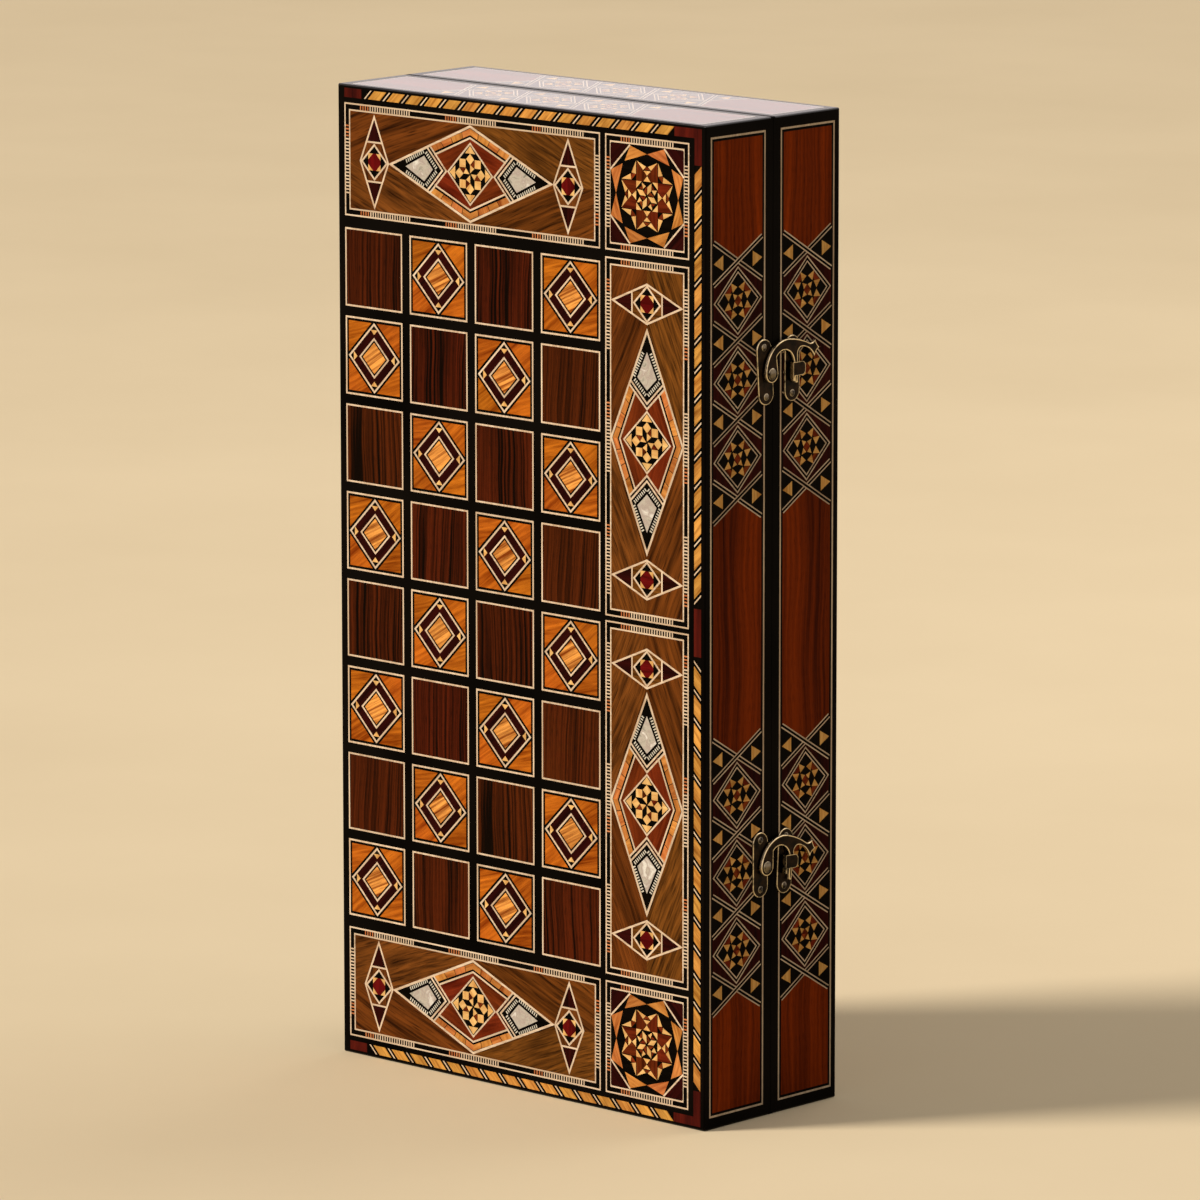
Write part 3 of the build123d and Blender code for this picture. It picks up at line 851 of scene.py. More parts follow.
def spindle():
    """A tall spindle round its own centre."""
    outer = rhombus(10.3, 24.1)
    inner = drawn_in(outer, 1.0)
    half = inner[0][0] * (1 - SPINDLE_WAIST / inner[1][1])
    upper = [(-half, SPINDLE_WAIST), (half, SPINDLE_WAIST), (9.2, 0.0)]
    waist = upper + [(-a, -b) for a, b in upper]
    slips = [(outer, "cream", 90), (inner, "maroon", 90), (waist, "walnut", 90)]
    for up in (-1, 1):
        slips.append((rectangle(-half - 0.3, up * 10.0 - 0.45, 2 * half + 0.6, 0.9), "cream", 0))
    slips += [(rhombus(9.4, 9.4), "cream", 45), (rhombus(8.0, 8.0), "black", 45),
              (square(4.3), "crimson", 90)]
    return slips + four_turns([([(4.3, 4.3), (1.1, 4.3), (4.3, 1.1)], "yellow", 45)])


print("spindle waist", SPINDLE_WAIST)

# %% [markdown]
# The big lozenge is the showpiece: pearl kites at its points, strips of orange wood along its
# sides, a red field, and in the middle a rhombus with a pinwheel of yellow, red and black. Rows
# of bone teeth follow the kites, and the first tree lays them too.

# %% Great lozenge
LOZENGE_LONG, LOZENGE_HIGH = 56.75, 24.5
ORANGE_SHARES = [0.0, 0.27, 0.52, 0.79, 1.0]
ORANGE_JOINT = 0.012
ORANGE_LOW, ORANGE_HIGH = ((-25.2, 9.1), (0.0, 19.6)), ((-28.2, 11.3), (0.0, 22.8))
PALE_LINES = [((-24.6, 7.6), (0.3, 18.2), 0.95, 20), ((-29.9, 11.0), (-18.9, -0.3), 1.0, 45),
              ((-27.6, 11.6), (-16.2, -0.3), 1.0, 45)]
TEETH = [((-44.0, 2.75), (-32.4, 8.5)), ((-30.3, 8.0), (-23.6, 1.0))]
TOOTH_PITCH = 1.35
tooth_slip = bar("tooth", 0.68, 1.8, "bone")


def pinwheel():
    outline = rhombus(15.9, 16.0)
    quarter = [
        ([(-3.4, 10.3), (3.4, 10.3), (0.0, 14.2)], "yellow", 90),
        (rhombus(2.75, 2.75, 0.0, 7.4), "yellow", 60),
        (rectangle(3.1, 3.1, 4.2, 4.2), "yellow", 80),
        ([(0.0, 0.5), (2.8, 2.9), (0.0, 4.6)], "yellow", 60),
        ([(0.2, 4.5), (2.9, 7.1), (2.9, 3.1)], "red", 45),
    ]
    return [(outline, "cream", 45), (drawn_in(outline, 0.9), "black", 45)] + four_turns(quarter)


def great_lozenge():
    """The lozenge lying down, round its own centre."""
    outline = rhombus(LOZENGE_LONG, LOZENGE_HIGH)
    quarter = [([(0.0, 17.5), (-24.6, 6.9), (-17.2, 0.0), (0.0, 0.0)], "red", 20)]
    for i, (s, e) in enumerate(zip(ORANGE_SHARES, ORANGE_SHARES[1:])):
        s = s + ORANGE_JOINT if i else s
        ends = ((ORANGE_LOW, s), (ORANGE_LOW, e), (ORANGE_HIGH, e), (ORANGE_HIGH, s))
        corners = [tuple(Vector(start).lerp(Vector(end), share)) for (start, end), share in ends]
        quarter.append((corners, "orange", 23 if i % 2 else 113))
    for start, end, wide, grain in PALE_LINES:
        quarter.append((strip(start, end, wide), "cream", grain))
    quarter.append(([(-44.8, 0.0), (-31.8, 6.4), (-25.8, 0.0)], "pearl", 0))
    return [(outline, "cream", 0), (drawn_in(outline, 1.2), "black", 0)] + both_ways(quarter) + pinwheel()


def teeth_runs(at, turned=0.0):
    """The rows of teeth of a lozenge, for the tree that lays them."""
    marks = [(run, "bone", 0) for run in TEETH]
    return [tuple(sorted(points)) for points, _, _ in moved(both_ways(marks), at, turned)]


print("lozenge", LOZENGE_LONG * 2, "x", LOZENGE_HIGH * 2)

# %% [markdown]
# There are three kinds of panel, each at the top and the foot of both halves. Two kinds hold
# lozenges on walnut, laid in quarters with the grain following the lozenge's sides, so that
# neighbouring quarters mirror each other. The wide panels lie across the case.

# %% Wide panels
SPINDLE_U = 20.9
OFF_MIDDLE = 0.3


def quarters(wide, high, grain):
    """Book-matched walnut over the field of a panel. The quarters off the diagonal have their own straighter
    figure, and are darker as a painted shade for their mirrored grain.
    """
    half_wide, half_high = wide / 2 - FRAME_WIDE, high / 2 - FRAME_WIDE
    made = []
    for i in (0, 1):
        for j in (0, 1):
            corner = rectangle(FRAME_WIDE + i * half_wide, FRAME_WIDE + j * half_high, half_wide, half_high)
            made.append((corner, "walnut", -grain) if i == j else (corner, "shaded_walnut", grain))
    return made


def panels(name, kind, size, at, slips, slot, teeth=()):
    """A panel's slab with the keys and teeth laid on it, at both ends of both halves."""
    parts = [slab(kind, slips)]
    for finish, runs in key_runs(*size).items():
        parts.append(laid_along(kind + "_" + finish, runs, key_slips[finish], KEY_PITCH))
    if teeth:
        parts.append(laid_along(kind + "_teeth", teeth, tooth_slip, TOOTH_PITCH))
    whole = joined([(part, AS_IS) for part in parts])
    for half in OUTWARD:
        ends = [(whole, on_front(half, *at, foot)) for foot in (False, True)]
        half_piece(half, name, ends, slot, kind)


size = (WIDE_PANEL, PANEL_HIGH)
middle = (WIDE_PANEL / 2 - OFF_MIDDLE, PANEL_HIGH / 2)
wide_slips = framed(*size, "walnut") + quarters(*size, 20) + moved(great_lozenge(), middle)
for u in (SPINDLE_U, WIDE_PANEL - SPINDLE_U - 2 * OFF_MIDDLE):
    wide_slips += moved(spindle(), (u, middle[1]))
panels("wide_marquetry", "wide_panels", size, (SQUARES_U, PANEL_Z), wide_slips, "walnut_panel",
       teeth_runs(middle))

# %% [markdown]
# The long panels stand beside the chessboard. They hold the same lozenge and spindles, turned
# upright, so nothing is drawn anew.

# %% Long panels
SPINDLE_FROM_MIDDLE = 68.4
size = (COLUMN_WIDE, LONG_PANEL_HIGH)
middle = (COLUMN_WIDE / 2, LONG_PANEL_HIGH / 2)
long_slips = framed(*size, "walnut") + quarters(*size, 66) + moved(great_lozenge(), middle, 90.0)
for up in (-SPINDLE_FROM_MIDDLE, SPINDLE_FROM_MIDDLE):
    long_slips += moved(spindle(), (middle[0], middle[1] + up), 90.0)
panels("long_marquetry", "long_panels", size, (COLUMN_U, LONG_PANEL_Z), long_slips, "walnut_panel",
       teeth_runs(middle, 90.0))

# %% [markdown]
# The corner panels hold an eight-pointed star in an octagon. An eighth of it is drawn and
# mirrored, which is also how the maker cuts it: sticks of wood glued in a bundle, then sliced.

# %% Corner panels
STAR_FIELD = 24.3
OCTAGON = 11.3


def with_mirrored(pairs):
    """Each slip and its mirror image over the diagonal, whose grain is given too."""
    made = []
    for points, name, grain, mirrored_grain in pairs:
        made += [(points, name, grain), ([(-b, -a) for a, b in points], name, mirrored_grain)]
    return made


def star():
    """The star round its own centre."""
    corner = [(-STAR_FIELD, STAR_FIELD), (-STAR_FIELD, OCTAGON), (-OCTAGON, STAR_FIELD)]
    quarter = [(corner, "maroon", 45)] + with_mirrored([
        ([(0.0, 20.6), (-11.2, 24.0), (-14.8, 16.2)], "orange", 20, 70),
        ([(-6.8, 16.7), (-7.1, 7.1), (-2.5, 7.1), (-0.3, 10.3), (-2.7, 12.9)], "red", 90, 0),
        ([(-6.8, 16.9), (-0.7, 14.5), (-2.6, 12.8)], "yellow", 20, 70),
        ([(-7.3, 16.9), (-10.3, 10.9), (-7.4, 10.4)], "yellow", 80, 10),
    ])
    quarter += [([(-10.6, 10.6), (-7.3, 10.3), (-10.3, 7.3)], "red", 45)] + with_mirrored([
        ([(-2.3, 12.9), (0.0, 12.9), (0.0, 14.6)], "red", 0, 0),
        ([(-2.3, 12.4), (0.0, 12.4), (0.0, 10.2)], "yellow", 0, 0),
        ([(-2.3, 7.2), (0.0, 7.2), (0.0, 9.9)], "yellow", 0, 0),
    ])
    quarter.append(([(-7.1, 7.1), (-3.6, 7.1), (-7.1, 3.6)], "yellow", 45))
    slips = [(square(STAR_FIELD), "black", 0)] + both_ways(quarter)
    for a in (-1, 1):
        for b in (-1, 1):
            edge = strip((STAR_FIELD * a, OCTAGON * b), (OCTAGON * a, STAR_FIELD * b), 0.9)
            slips.append((edge, "cream", 0))
    return slips + four_turns([
        ([(0.1, 0.6), (0.3, 4.6), (3.0, 6.6), (2.8, 2.9)], "yellow", 65),
        ([(-0.3, 0.8), (-0.1, 4.9), (-2.2, 2.2)], "red", 90),
        ([(-3.4, 6.6), (-0.8, 4.9), (-3.1, 3.1)], "yellow", 45),
        ([(3.2, 2.6), (3.4, 5.6), (5.2, 2.9)], "red", 45),
    ])


size = (COLUMN_WIDE, PANEL_HIGH)
corner_slips = framed(*size, "black") + moved(star(), (COLUMN_WIDE / 2, PANEL_HIGH / 2))
panels("star_marquetry", "corner_panels", size, (COLUMN_U, PANEL_Z), corner_slips, "star_panel")

# %% [markdown]
# The rope banding round the face is a row of slanted orange slips with a pale string between
# two black ones. One slanted unit is cut, a black ground with a string and a slip in it, and the
# tree lays it along each length. The ground slab underneath shows as black at both slanted ends.

# %% Rope banding
ROPE_WIDE = 4.8
END_ROPE, SIDE_ROPE = 212.9, 218.2
END_UNITS, SIDE_UNITS = 16, 15
END_ROPE_U, END_ROPE_Z = 16.6, 493.4
SIDE_ROPE_U = 242.7
SLANT = ROPE_WIDE / 2 - 0.15
STRING_AT, STRING_WIDE = 1.8, 1.0
ORANGE_AT = 4.6
MIDDLE_BLOCK = 24.0


def slanted(start, width):
    return [(start - SLANT, -SLANT), (start + width - SLANT, -SLANT), (start + width + SLANT, SLANT),
            (start + SLANT, SLANT)]


def rope(name, length, units):
    """One length of banding, lying along a."""
    pitch = (length - 2 * SLANT) / units
    start = -pitch / 2
    strings = [(slanted(start, pitch), "black", 0), (slanted(start + STRING_AT, STRING_WIDE), "cream", 45),
               (slanted(start + ORANGE_AT, pitch - ORANGE_AT), "rope", 45)]
    unit = slab(name + "_unit", strings, KEY_DEEP, 0.0)
    ground = slab(name + "_ground", [(rectangle(0.0, 0.0, length, ROPE_WIDE), "black", 0)])
    run = [((SLANT + pitch / 2, ROPE_WIDE / 2), (length - SLANT - pitch / 2, ROPE_WIDE / 2))]
    return joined([(ground, AS_IS), (laid_along(name, run, unit, pitch), AS_IS)])


def upright(half, u, z, up):
    """A banding that runs up or down the face."""
    side = OUTWARD[half]
    return face((u - CASE_WIDE / 2, side * CASE_DEEP / 2, z), (0, 0, up), (1, 0, 0), (0, side, 0))


end_rope = rope("end_rope", END_ROPE, END_UNITS)
side_rope = rope("side_rope", SIDE_ROPE, SIDE_UNITS)
for half in OUTWARD:
    parts = [(end_rope, on_front(half, END_ROPE_U, END_ROPE_Z, foot)) for foot in (False, True)]
    for up in (1, -1):
        parts.append((side_rope, upright(half, SIDE_ROPE_U, (CASE_HIGH + up * MIDDLE_BLOCK) / 2, up)))
    half_piece(half, "rope_work", parts, "rope_banding", "rope_banding")

# %% [markdown]
# The latched side carries one long panel on each half. Red-brown fields with pointed ends stand
# between chains of lozenges, and pairs of pale lines cross where two lozenges meet. The panels
# on the top and the foot are the same work with a single chain.

# %% Side and end panels
RISE = 10.6
LOZENGE_PITCH = 39.2
SIDE_BORDER = 2.3
SIDE_LOW = 6.0
END_LONG = 238.0
UPPER_CHAIN = [314.3, 353.5, 392.6, 431.8]


def small_lozenge():
    outer, inner = rhombus(17.6, 17.0), rhombus(15.0, 14.5)
    slips = [(outer, "cream", 45), (drawn_in(outer, 0.7), "black", 45), (inner, "cream", 45),
             (drawn_in(inner, 0.65), "black", 45)]
    return slips + both_ways([
        ([(-9.4, 4.0), (-4.5, 8.8), (-3.7, 5.8), (-6.5, 3.2)], "red", 45),
        ([(-5.1, 9.1), (-0.6, 6.8), (-3.8, 4.2)], "yellow", 0),
        ([(-9.8, 4.3), (-4.7, 3.9), (-6.8, 0.4)], "yellow", 0),
        ([(-3.6, 3.6), (-0.4, 2.6), (-2.4, 0.4)], "yellow", 45),
        ([(-2.4, 0.0), (-0.4, 2.6), (0.0, 2.0), (0.0, 0.0)], "red", 45),
    ])


def side_panel(length, chains):
    """A panel that runs along b. Each chain lists where its lozenges meet, from the lower end."""
    outline = rectangle(0.0, 0.0, SIDE_WIDE, length)
    left, right, middle = SIDE_BORDER, SIDE_WIDE - SIDE_BORDER, SIDE_WIDE / 2
    slips = [(outline, "cream", 90), (drawn_in(outline, 1.0), "black", 90),
             (rectangle(left, SIDE_BORDER, right - left, length - 2 * SIDE_BORDER), "sapele", 90)]
    for chain in chains:
        gaps = list(zip(chain, chain[1:]))
        for low, high in gaps:
            slips.append((rectangle(left, low, right - left, high - low), "maroon", 90))
        for end, rise in ((chain[0], -RISE), (chain[-1], RISE)):
            for side in (left, right):
                slips.append(([(side, end), (side, end + rise), (middle, end)], "black", 90))
        for b in chain:
            for tip, inward in ((left, 6.9), (right, -6.9)):
                slips.append(([(middle, b), (tip, b + RISE), (tip, b - RISE)], "black", 90))
                slips.append(([(tip, b), (tip + inward, b + 3.8), (tip + inward, b - 3.8)], "yellow", 90))
        for low, high in gaps:
            slips += moved(small_lozenge(), (middle, (low + high) / 2))
        for b in chain:
            for sign in (-1, 1):
                ends = ((left, b - sign * RISE), (right, b + sign * RISE))
                slips += [(strip(*ends, 2.5), "cream", 30 * sign), (strip(*ends, 1.2), "black", 30 * sign)]
    return slips


upper_chain = [z - SIDE_LOW for z in UPPER_CHAIN]
lower_chain = [CASE_HIGH - z - SIDE_LOW for z in reversed(UPPER_CHAIN)]
end_chain = [END_LONG / 2 + LOZENGE_PITCH * k for k in (-1.5, -0.5, 0.5, 1.5)]
latch_slips = side_panel(CASE_HIGH - 2 * SIDE_LOW, [lower_chain, upper_chain])
# The latched side's pale and yellow slips take the darker copies of their woods, a painted shade.
latch_side = slab("latch_side", latch_slips, palette=painted_shade_woods)
end_panel = slab("end_panel", side_panel(END_LONG, [end_chain]), palette=polished)
for half, outward in OUTWARD.items():
    across = (0, -outward, 0)
    edge_y = outward * (CASE_DEEP / 2 - SIDE_INSET)
    side_place = face((CASE_WIDE / 2, edge_y, SIDE_LOW), across, (0, 0, 1), (1, 0, 0))
    half_piece(half, "side_marquetry", [(latch_side, side_place)], "side_panel", "latch_side_panel")
    ends = [(end_panel, face((-END_LONG / 2, edge_y, height), across, (1, 0, 0), (0, 0, up)))
            for height, up in ((CASE_HIGH, 1), (0.0, -1))]
    half_piece(half, "end_marquetry", ends, "side_panel", "end_panels")

# %% [markdown]
# The latches, hinges and screws are metal under a patina. A number on the mesh says where bright bare
# metal shows: partly where hands rub the patina off, partly a painted highlight on rims that catch
# the light. The patina's own cloud breaks the border of it up.

# %% Metal
WEAR_AND_SHEEN = "wear_and_sheen"


def metal(name, dark, light, bare, rough, scale, height=0.02):
    """Metal with a patina, bare and bright where the mesh says so: partly wear, partly a painted highlight on
    rims.
    """
    material, start = new_material(name)
    patina = start.noise(start.place(), scale, 5.0, Roughness=0.6)
    # Bare bright metal where the mesh's number says: partly wear, partly a painted highlight on rims.
    bare_and_highlit = (start.attribute(WEAR_AND_SHEEN) * patina.between(0.2, 0.55)).between(0.15, 0.6)
    colour = bare_and_highlit.mix(patina.between(0.38, 0.64).mix(shade(*dark), shade(*light)), shade(*bare))
    return finish_surface(material, colour, patina * -0.2 + rough - bare_and_highlit * 0.15, 0.0, patina, height, 1.0)


# The last colour of each metal is the bare one, shown where hands rub and as a painted highlight on rims.
bronze = metal("latch_bronze", (12, 9, 6), (38, 27, 17), (232, 212, 172), 0.45, 260.0, 0.03)
brass = metal("hinge_brass", (138, 98, 44), (188, 146, 76), (232, 200, 132), 0.45, 90.0)
steel = metal("hinge_steel", (120, 120, 122), (176, 176, 178), (200, 200, 202), 0.4, 90.0)
print("metals:", bronze.name, brass.name, steel.name)

# %% [markdown]
# The frame's solids keep their CAD shapes, and so do the boards and rests inside the case. Each
# gets one finish. The rails have their grain along their length and are black outside only.

# %% Finish of the carried-over solids
RAIL_SHADES = ((52, 26, 12), (98, 56, 28))
standing_rail = wood("rail_wood_upright", *RAIL_SHADES, along="z", band=5.0, rails=True)
lying_rail = wood("rail_wood_lying", *RAIL_SHADES, along="x", band=5.0, rails=True)
carried_over = {
    "hinge_rail": standing_rail, "latch_rail": standing_rail, "top_rail": lying_rail, "foot_rail": lying_rail,
    "outer_sheet": ebonised("ebonised_facing"),
    "base_board": wood("base_board_wood", (104, 66, 34), (152, 104, 62), along="z", band=8.0),
    "banding_blocks": wood("padauk_blocks", (44, 10, 8), (92, 26, 16), along="z"),
    "checker_rests": wood("rest_wood", (74, 38, 18), (122, 74, 38), along="x"),
    "field_veneer": wood("playing_field_walnut", (70, 38, 16), (136, 84, 42), along="z", band=3.0, reach=150,
                         wander=0.7),
    "hinge_pins": steel,
}
for name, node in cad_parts.items():
    kind = name.removeprefix("front_").removeprefix("back_")
    if kind in carried_over:
        node.data.materials.clear()
        node.data.materials.append(carried_over[kind])
print(len(carried_over), "kinds of carried-over solids")

# %% [markdown]
# The latches are dark bronze with bright rims: partly rubbed by hands, partly a painted highlight where
# the rims catch the light. The imported mesh is loose triangles, so a copy is welded and its flat faces
# are made whole. An inset would fold over itself in the hooks' thin tips. So each flat region is meshed
# again by a planar triangulation, with a ring of points a rim's width inside its outline, wherever
# there is room for them. A number on the mesh goes from 1 on the outline to 0 on the ring.

# %% Flat regions and their outlines
RIM = 0.55
ROOM = 0.97
FLAT = 0.9999
WELD = 0.001
SAME_PLANE = 0.5


def welded(name):
    """A CAD node's mesh with its loose triangles joined up and its flat faces made whole."""
    work = bmesh.new()
    work.from_mesh(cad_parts[name].data)
    bmesh.ops.remove_doubles(work, verts=work.verts, dist=WELD * MM)
    bmesh.ops.dissolve_limit(work, angle_limit=radians(SAME_PLANE), verts=work.verts, edges=work.edges)
    return work


def flat_regions(work, axis):
    """Groups of joined faces that look one way along an axis."""
    regions = []
    seen = set()
    for first in work.faces:
        if first in seen or abs(first.normal[axis]) < FLAT:
            continue
        seen.add(first)
        region = [first]
        for f in region:
            for other in (other for edge in f.edges for other in edge.link_faces):
                if other not in seen and other.normal[axis] * first.normal[axis] > FLAT ** 2:
                    seen.add(other)
                    region.append(other)
        regions.append(region)
    return regions


def gap(point, start, end):
    """How far a point lies from a straight edge."""
    run = end - start
    share = min(max((point - start).dot(run) / run.length_squared, 0.0), 1.0)
    return (start + run * share - point).length


def ring_inside(flat, outline):
    """Points a rim's width inside an outline, where the shape is wide enough for them."""
    bends = {}
    along = []
    for i, j, inward in outline:
        steps = max(1, round((flat[j] - flat[i]).length / RIM))
        along += [flat[i].lerp(flat[j], (k + 0.5) / steps) + inward * RIM for k in range(steps)]
        for end in (i, j):
            bends[end] = bends.get(end, Vector((0.0, 0.0))) + inward
    kept = []
    for point in [flat[i] + bend.normalized() * RIM for i, bend in bends.items()] + along:
        roomy = all(gap(point, flat[i], flat[j]) > RIM * ROOM for i, j, _ in outline)
        if roomy and all((point - other).length > RIM / 2 for other in kept):
            kept.append(point)
    return kept


def outer_corners(flat, outline, sign):
    """The corners that go round the outside of a region, not round a hole in it."""
    after = {i: j for i, j, _ in outline}
    outer = set()
    while after:
        i, j = after.popitem()
        loop = [i]
        while j in after:
            loop.append(j)
            j = after.pop(j)
        if area([tuple(flat[k]) for k in loop]) * sign > 0:
            outer.update(loop)
    return outer


def inside(point, edges):
    """Whether a point lies within closed outlines: a line from it crosses them an odd number of times."""
    crossings = 0
    for start, end in edges:
        if (start.y > point.y) != (end.y > point.y):
            crossings += point.x < start.x + (point.y - start.y) * (end.x - start.x) / (end.y - start.y)
    return crossings % 2 == 1


print("rim", RIM, "mm")

# %% [markdown]
# With the outline and its ring known, a region's faces are thrown away and new ones are laid.
# Only edges of the outline are kept as they are, so that the region still meets its neighbours
# and the latch stays closed. The count of open edges is printed, and has to be 0.

# %% Metal with bright rims, partly wear and partly a painted highlight
# How bright each part's rims get: partly wear, partly a painted highlight.
RIM_WEAR_AND_SHEEN = {"hook": 1.0, "hook_plate": 0.7, "strike_plate": 0.6, "nails": 0.35, "rivet": 0.4, "leaves": 1.0}
# All else, the domes of nails and rivets too, gets a little: a painted sheen, and some wear.
WEAR_AND_SHEEN_ELSEWHERE = 0.22
WIDE_ENOUGH = 5 * RIM
SHARP = 50
NO_ANGLE = 4.0


def bordered(work, region, axis, layer, wear_and_sheen):
    """Meshes a flat region again: bright on its outline, partly wear and partly a painted highlight, and dark
    inside the ring.
    """
    u, v = (axis + 1) % 3, (axis + 2) % 3
    sign = 1 if region[0].normal[axis] > 0 else -1
    corners = list(dict.fromkeys(vertex for f in region for vertex in f.verts))
    number = {vertex: k for k, vertex in enumerate(corners)}
    flat = [Vector((vertex.co[u], vertex.co[v])) / MM for vertex in corners]
    level = corners[0].co[axis]
    outline = []
    for loop in (loop for f in region for loop in f.loops):
        if sum(other in region for other in loop.edge.link_faces) == 1:
            i, j = number[loop.vert], number[loop.link_loop_next.vert]
            along = (flat[j] - flat[i]).normalized() * sign
            outline.append((i, j, Vector((-along.y, along.x))))
    outer = outer_corners(flat, outline, sign)
    for k, vertex in enumerate(corners):
        vertex[layer] = wear_and_sheen if k in outer else 0.0
    points = flat + ring_inside(flat, [edge for edge in outline if edge[0] in outer])
    made, _, found, sources, _, _ = delaunay_2d_cdt(points, [edge[:2] for edge in outline], [], 0, 0.0005)
    edges = [(flat[i], flat[j]) for i, j, _ in outline]
    triangles = [t for t in found if inside(sum((made[k] for k in t), Vector((0.0, 0.0))) / 3, edges)]
    bmesh.ops.delete(work, geom=region, context="FACES_ONLY")
    vertices = {}
    for k in {k for triangle in triangles for k in triangle}:
        known = [source for source in sources[k] if source < len(corners)]
        place = Vector()
        place[axis], place[u], place[v] = level, made[k].x * MM, made[k].y * MM
        vertices[k] = corners[known[0]] if known else work.verts.new(place)
    for triangle in triangles:
        turned = area([tuple(made[k]) for k in triangle]) * sign > 0
        work.faces.new([vertices[k] for k in (triangle if turned else triangle[::-1])])


def rubbed_and_highlit(name, axis, finish):
    """A CAD node's shape with a bright border round each flat face that looks along an axis."""
    work = welded(name)
    layer = work.verts.layers.float.new(WEAR_AND_SHEEN)
    wear_and_sheen = next(share for ending, share in RIM_WEAR_AND_SHEEN.items() if name.endswith(ending))
    for vertex in work.verts:
        vertex[layer] = WEAR_AND_SHEEN_ELSEWHERE
    for region in flat_regions(work, axis):
        if sum(f.calc_area() for f in region) > (WIDE_ENOUGH * MM) ** 2:
            bordered(work, region, axis, layer, wear_and_sheen)
    bmesh.ops.delete(work, geom=[edge for edge in work.edges if not edge.link_faces], context="EDGES")
    work.normal_update()
    for f in work.faces:
        f.smooth = abs(f.normal[axis]) < FLAT
    for edge in work.edges:
        edge.smooth = edge.calc_face_angle(NO_ANGLE) < radians(SHARP)
    print(name, len(work.faces), "faces, open edges:", sum(not edge.is_manifold for edge in work.edges))
    return mesh_of(work, name + "_rubbed", [finish])


LATCH = (0, bronze, "latch_bronze")
HINGE = (1, brass, "hinge_brass")
FRONT_NODES = ("upper_hook_plate", "lower_hook_plate", "upper_rivet", "lower_rivet", "hook_plate_nails")
BACK_NODES = ("upper_strike_plate", "lower_strike_plate", "strike_plate_nails")
METALWORK = {
    "front_latch_work": ("front_half", LATCH, FRONT_NODES),
    "back_latch_work": ("back_half", LATCH, BACK_NODES),
    "upper_hook_work": ("upper_hook", LATCH, ("upper_hook",)),
    "lower_hook_work": ("lower_hook", LATCH, ("lower_hook",)),
    "front_hinge_work": ("front_half", HINGE, ("front_hinge_leaves",)),
    "back_hinge_work": ("back_half", HINGE, ("back_hinge_leaves",)),
}
for name, (body, (axis, finish, slot), nodes) in METALWORK.items():
    piece(name, [(rubbed_and_highlit(node, axis, finish), AS_IS) for node in nodes], body, slot, *nodes)

# %% [markdown]
# Where does a loose thing lie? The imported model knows. Each connected part of a CAD node gives a
# box, and the box's middle places a turned checker, a screw's slot or the pips of a die.

# %% Boxes of loose parts
def loose_parts(name):
    """The lowest and highest corner of each connected part of a CAD node, in metres."""
    work = welded(name)
    left = {vertex.index: vertex for vertex in work.verts}
    boxes = []
    while left:
        group = [left.pop(min(left))]
        for vertex in group:
            for edge in vertex.link_edges:
                other = left.pop(edge.other_vert(vertex).index, None)
                if other:
                    group.append(other)
        spans = [[vertex.co[k] for vertex in group] for k in range(3)]
        boxes.append((Vector([min(span) for span in spans]), Vector([max(span) for span in spans])))
    work.free()
    return sorted(boxes, key=lambda box: [round(part, 5) for part in box[0]])


print("stacks of light checkers:", len(loose_parts("light_checkers")))

# %% [markdown]
# A checker is turned on a lathe, so its mesh is a profile swept round: a dished middle and two
# rings cut in both faces, given in shares of the radius and in millimetres down from the face.
# Stacked checkers touch, so a stack is one loose part and is counted off by thickness. A tree
# lays a checker on each place and turns it about its axis by chance, as hands would. The chance
# has a fixed seed, so every run gives the same stacks.

# %% Turned checkers
TURNS = 56
CHECKER_THICK = 9.5
SHARP_TURN = 28
PROFILE = [(0.0, 1.3), (0.3, 1.2), (0.42, 0.8), (0.48, 0.0), (0.66, 0.0), (0.675, 0.9), (0.715, 0.9),
           (0.73, 0.0), (0.85, 0.0), (0.862, 0.7), (0.89, 0.7), (0.9, 0.0), (0.94, 0.0), (0.985, 0.45),
           (1.0, 1.1)]
pale_wood = wood("light_checker_wood", (178, 122, 60), (232, 188, 122), band=1.4, tone=0.4)
dark_wood = wood("dark_checker_wood", (34, 11, 6), (88, 36, 18), band=1.4, tone=0.4)
CHECKERS = {"light_checker": ("front_half", 3, pale_wood), "dark_checker": ("back_half", 5, dark_wood)}


def lathe(name, rings, finish):
    """A closed shape round the y axis from rings of radius and height. The first and last are its poles."""
    vertices = [(0.0, rings[0][1], 0.0), (0.0, rings[-1][1], 0.0)]
    for radius, height in rings[1:-1]:
        angles = [2 * pi * k / TURNS for k in range(TURNS)]
        vertices += [(radius * cos(angle), height, radius * sin(angle)) for angle in angles]
    last = len(vertices) - TURNS
    faces = []
    for k in range(TURNS):
        after = (k + 1) % TURNS
        faces += [[0, 2 + k, 2 + after], [1, last + after, last + k]]
        for low in range(2, last, TURNS):
            faces.append([low + k, low + TURNS + k, low + TURNS + after, low + after])
    mesh = new_mesh(name, vertices, [], faces, [finish])
    grain_map = mesh.uv_layers.new(name=GRAIN)
    for loop in mesh.loops:
        x, _, z = mesh.vertices[loop.vertex_index].co
        grain_map.data[loop.index].uv = (x / MM / CELL, z / MM / CELL)
    mesh.attributes.new(WOOD_NUMBER, "FLOAT", "FACE")
    mesh.polygons.foreach_set("use_smooth", [True] * len(mesh.polygons))
    mesh.set_sharp_from_angle(angle=radians(SHARP_TURN))
    return mesh


def turned_tree():
    tree, given = new_tree("turned_pieces_on_points", {"Seed": "Int"})
    start = given["Geometry"]
    angle = start.node("FunctionNodeRandomValue", {}, {"Max": 6.28, "Seed": given["Seed"]}, 1)
    close_tree(given, start, {"Rotation": start.vector(0.0, angle)})
    return tree


